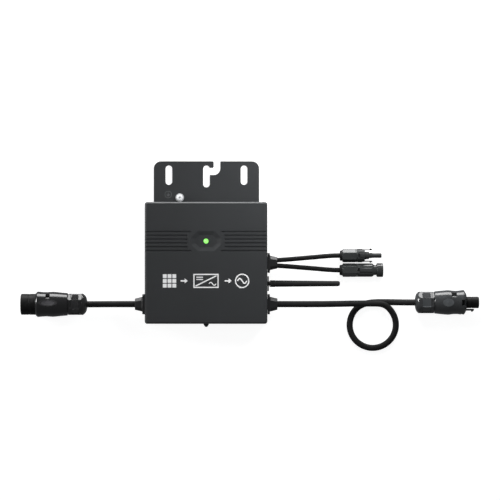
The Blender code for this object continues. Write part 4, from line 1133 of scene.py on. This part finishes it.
def dc_socket():
    """Lower panel connector: faceted nut, body with a raised rib, head with side windows."""
    nut = dc_nut("dc_socket_nut", DC_SOCKET, 4.6, 23.4, -0.04)

    def body_shape(s, r, a):
        if r < 7.0:
            return r
        for face in (FRONT, BACK):
            beside = turn_gap(a, face) * r
            rib = hump(beside, 0, 2.6, 0.5)
            r -= 0.55 * (1 - rib) * hump(s, 35, 8.6, 0.6) * hump(beside, 0, 5.2, 0.6)
        return r - latch_window_depth(s, a)

    body = turned("dc_socket_housing", fine([
        (20.3, 0), (20.3, 5.7), (10.5, 5.7), (10.5, 7.0), (23.7, 7.0), (23.7, 8.8), (24.0, 9.1),
        (42.6, 9.1), (43.8, 8.95), (44.8, 8.5), (46.0, 7.9), (47, 7.6), (49.2, 7.3), (49.6, 7.5),
        (50.1, 8.7), (50.6, 9.1), (51.2, 9.3), (57.9, 9.3), (58.5, 9.1), (58.8, 8.7), (58.9, 8.2),
        (58.9, 0),
    ], SHAPE_STEP), DC_SOCKET, X_AXIS, PANEL_GLOSS, 144, body_shape)
    # Painted shade in the small window.
    paint(body, DC_SOCKET, X_AXIS, MATT_AND_SHADE, latch_window_shade)
    mouth = rod("mouth", DC_SOCKET + X_AXIS * 32, X_AXIS, 30, 5.3, 64)
    low = DC_SOCKET + Vector((45.4, -8.4, -3.4))
    high = DC_SOCKET + Vector((60, 8.4, 3.4))
    well = rod("pin_well", DC_SOCKET + X_AXIS * 26, X_AXIS, 8, 1.9)
    cut(body, mouth, block("finger_way", low, high, GLOSS), well)
    even(body, BODY_SHARP)
    plastic(body, "dc_socket_body")
    return [nut, body, frame["nodes"]["dc_socket_seal"], frame["nodes"]["dc_socket_pin"]]


# ---------------- printed symbols

PRINT = (FACE_Z - 0.02, FACE_Z + 0.05)      # thin print on the front face
LINE = 1.6                                  # width of the print's lines


def printed(name, outline):
    return place(prism(name, outline, *PRINT, INK), "root", "housing_coat")


def printed_ring(name, x, y, radius):
    z0, z1 = PRINT
    profile = [(z0, radius - LINE), (z0, radius), (z1, radius), (z1, radius - LINE)]
    return place(turned(name, profile, Vector((x, y, 0)), Z_AXIS, INK, 96), "root", "housing_coat")


def arrow(name, x, y):
    half, shaft = 3.4, 1.0
    printed(name, [(x - 4.5, y - shaft), (x + 0.8, y - shaft), (x + 0.8, y - half), (x + 5, y),
                   (x + 0.8, y + half), (x + 0.8, y + shaft), (x - 4.5, y + shaft)])


def wave(name, x, y, length, height, steps, width):
    """One period of a sine, starting at x."""
    points = [(x + length * k / steps, y + height * sin(2 * pi * k / steps)) for k in range(steps + 1)]
    printed(name, stroke(points, width))


def pictogram():
    """Generic picture of the part's job: a panel, direct to alternating current, and the grid."""
    y, left, pitch, cell = -24.2, -58, 6.4, 5.2
    for i in range(3):
        for j in range(3):
            x0, y0 = left + i * pitch, y - 9.0 + j * pitch
            printed(f"panel_cell_{i}_{j}", rectangle(x0, x0 + cell, y0, y0 + cell, 0.5, 3))
    arrow("arrow_in", -29.5, y)
    x0, x1, y0, y1 = -17, 17, y - 9.5, y + 9.5
    for name, sides in (("bottom", (x0, x1, y0, y0 + LINE)), ("top", (x0, x1, y1 - LINE, y1)),
                        ("left", (x0, x0 + LINE, y0 + LINE, y1 - LINE)),
                        ("right", (x1 - LINE, x1, y0 + LINE, y1 - LINE))):
        printed(f"converter_{name}", rectangle(*sides))
    printed("converter_slash", stroke([(x0 + 3.0, y0 + 2.6), (x1 - 3.0, y1 - 2.6)], LINE))
    printed("direct_bar_1", rectangle(x0 + 4, x0 + 13, y1 - 5.2, y1 - 3.9))
    printed("direct_bar_2", rectangle(x0 + 4, x0 + 13, y1 - 8.2, y1 - 6.9))
    wave("alternating_wave", x1 - 13, y0 + 5.6, 9.5, 1.9, 24, 1.3)
    arrow("arrow_out", 29.5, y)
    printed_ring("grid_ring", 48.6, y, 9.7)
    wave("grid_wave", 48.6 - 6.3, y, 12.6, 3.2, 32, LINE)


# ---------------- stage, in metres

def paper(name, vertices, faces, glow):
    """Stage surface that glows a little and is left out of reflections, so glossy rims stay dark."""
    mesh = bpy.data.meshes.new(name)
    mesh.from_pydata(vertices, [], faces)
    obj = add(name, mesh)
    obj.visible_glossy = False
    obj.visible_diffuse = False
    obj.visible_shadow = False
    mat, _, shader = node_material(f"{name}_paper")
    shader.inputs["Base Color"].default_value = (0.35, 0.35, 0.35, 1)
    shader.inputs["Roughness"].default_value = 0.9
    shader.inputs["Specular IOR Level"].default_value = 0.1
    shader.inputs["Emission Color"].default_value = (1, 1, 1, 1)
    shader.inputs["Emission Strength"].default_value = glow
    mesh.materials.append(mat)


def floor():
    """White floor, and a round white wall far behind it for the low views."""
    reach, level, height, sides = 9.0, -0.0002, 6.0, 48
    ring = arc(0, 0, reach, 0, 2 * pi, sides)[:-1]
    low = [(x, y, level) for x, y in ring]
    high = [(x, y, height) for x, y in ring]
    paper("floor", low, [tuple(range(sides))], 0.9)
    panels = [(k, (k + 1) % sides, sides + (k + 1) % sides, sides + k) for k in range(sides)]
    paper("backdrop", low + high, panels, 0.95)


def softbox(name, spot, target, size, power, mirrored=True):
    """Rectangular lamp aimed at target; one that is not mirrored gives light but no highlight."""
    data = bpy.data.lights.new(name, "AREA")
    data.shape = "RECTANGLE"
    data.size, data.size_y = size
    data.energy = power
    obj = add(name, data)
    obj.location = spot
    obj.rotation_euler = (Vector(target) - Vector(spot)).to_track_quat("-Z", "Y").to_euler()
    obj.visible_camera = False
    obj.visible_glossy = mirrored


def lights():
    softbox("strip_back", (0.06, 1.1, -0.10), (0.06, 0, -0.10), (1.6, 0.64), 28)
    softbox("overhead_left", (-1.05, 0.75, 3.4), (0, 0, 0), (1.2, 1.2), 2.5)
    softbox("low_left", (-1.1, 0.35, 0.20), (0, 0, 0.03), (0.4, 0.4), 15)
    softbox("corner_right", (0.22, 0.22, 0.20), (0.05, 0.05, 0), (0.20, 0.20), 1.7, mirrored=False)
    world = bpy.data.worlds.new("studio")
    world.use_nodes = True
    world.node_tree.nodes["Background"].inputs["Color"].default_value = (0.95, 0.97, 1.0, 1)
    world.node_tree.nodes["Background"].inputs["Strength"].default_value = 0.21
    bpy.context.scene.world = world
    bpy.context.scene.view_settings.view_transform = "Standard"


# ---------------- everything

def main():
    camera()
    dress_cad_nodes()
    front_cover()
    base_tray()
    seal_ring()
    indicator()
    vent()
    mounting_plate()
    ground_terminal()
    bore, panel_bore = AC_CABLE_R + 0.15, DC_CABLE_R + 0.15
    gland("dc_gland", 0.0, 1, 16.8, [(y, panel_bore) for y in DC_EXIT_Y])
    gland("ac_gland_right", AC_Y, 1, 14.8, [(AC_Y, bore)])
    gland("ac_gland_left", AC_Y, -1, 14.8, [(AC_Y, bore)])
    antenna()
    ends = {"ac_cable_left": ac_socket(), "ac_cable_right": ac_plug(),
            "dc_cable_upper": dc_plug(), "dc_cable_lower": dc_socket()}
    leads(ends)
    pictogram()
    floor()
    lights()


main()
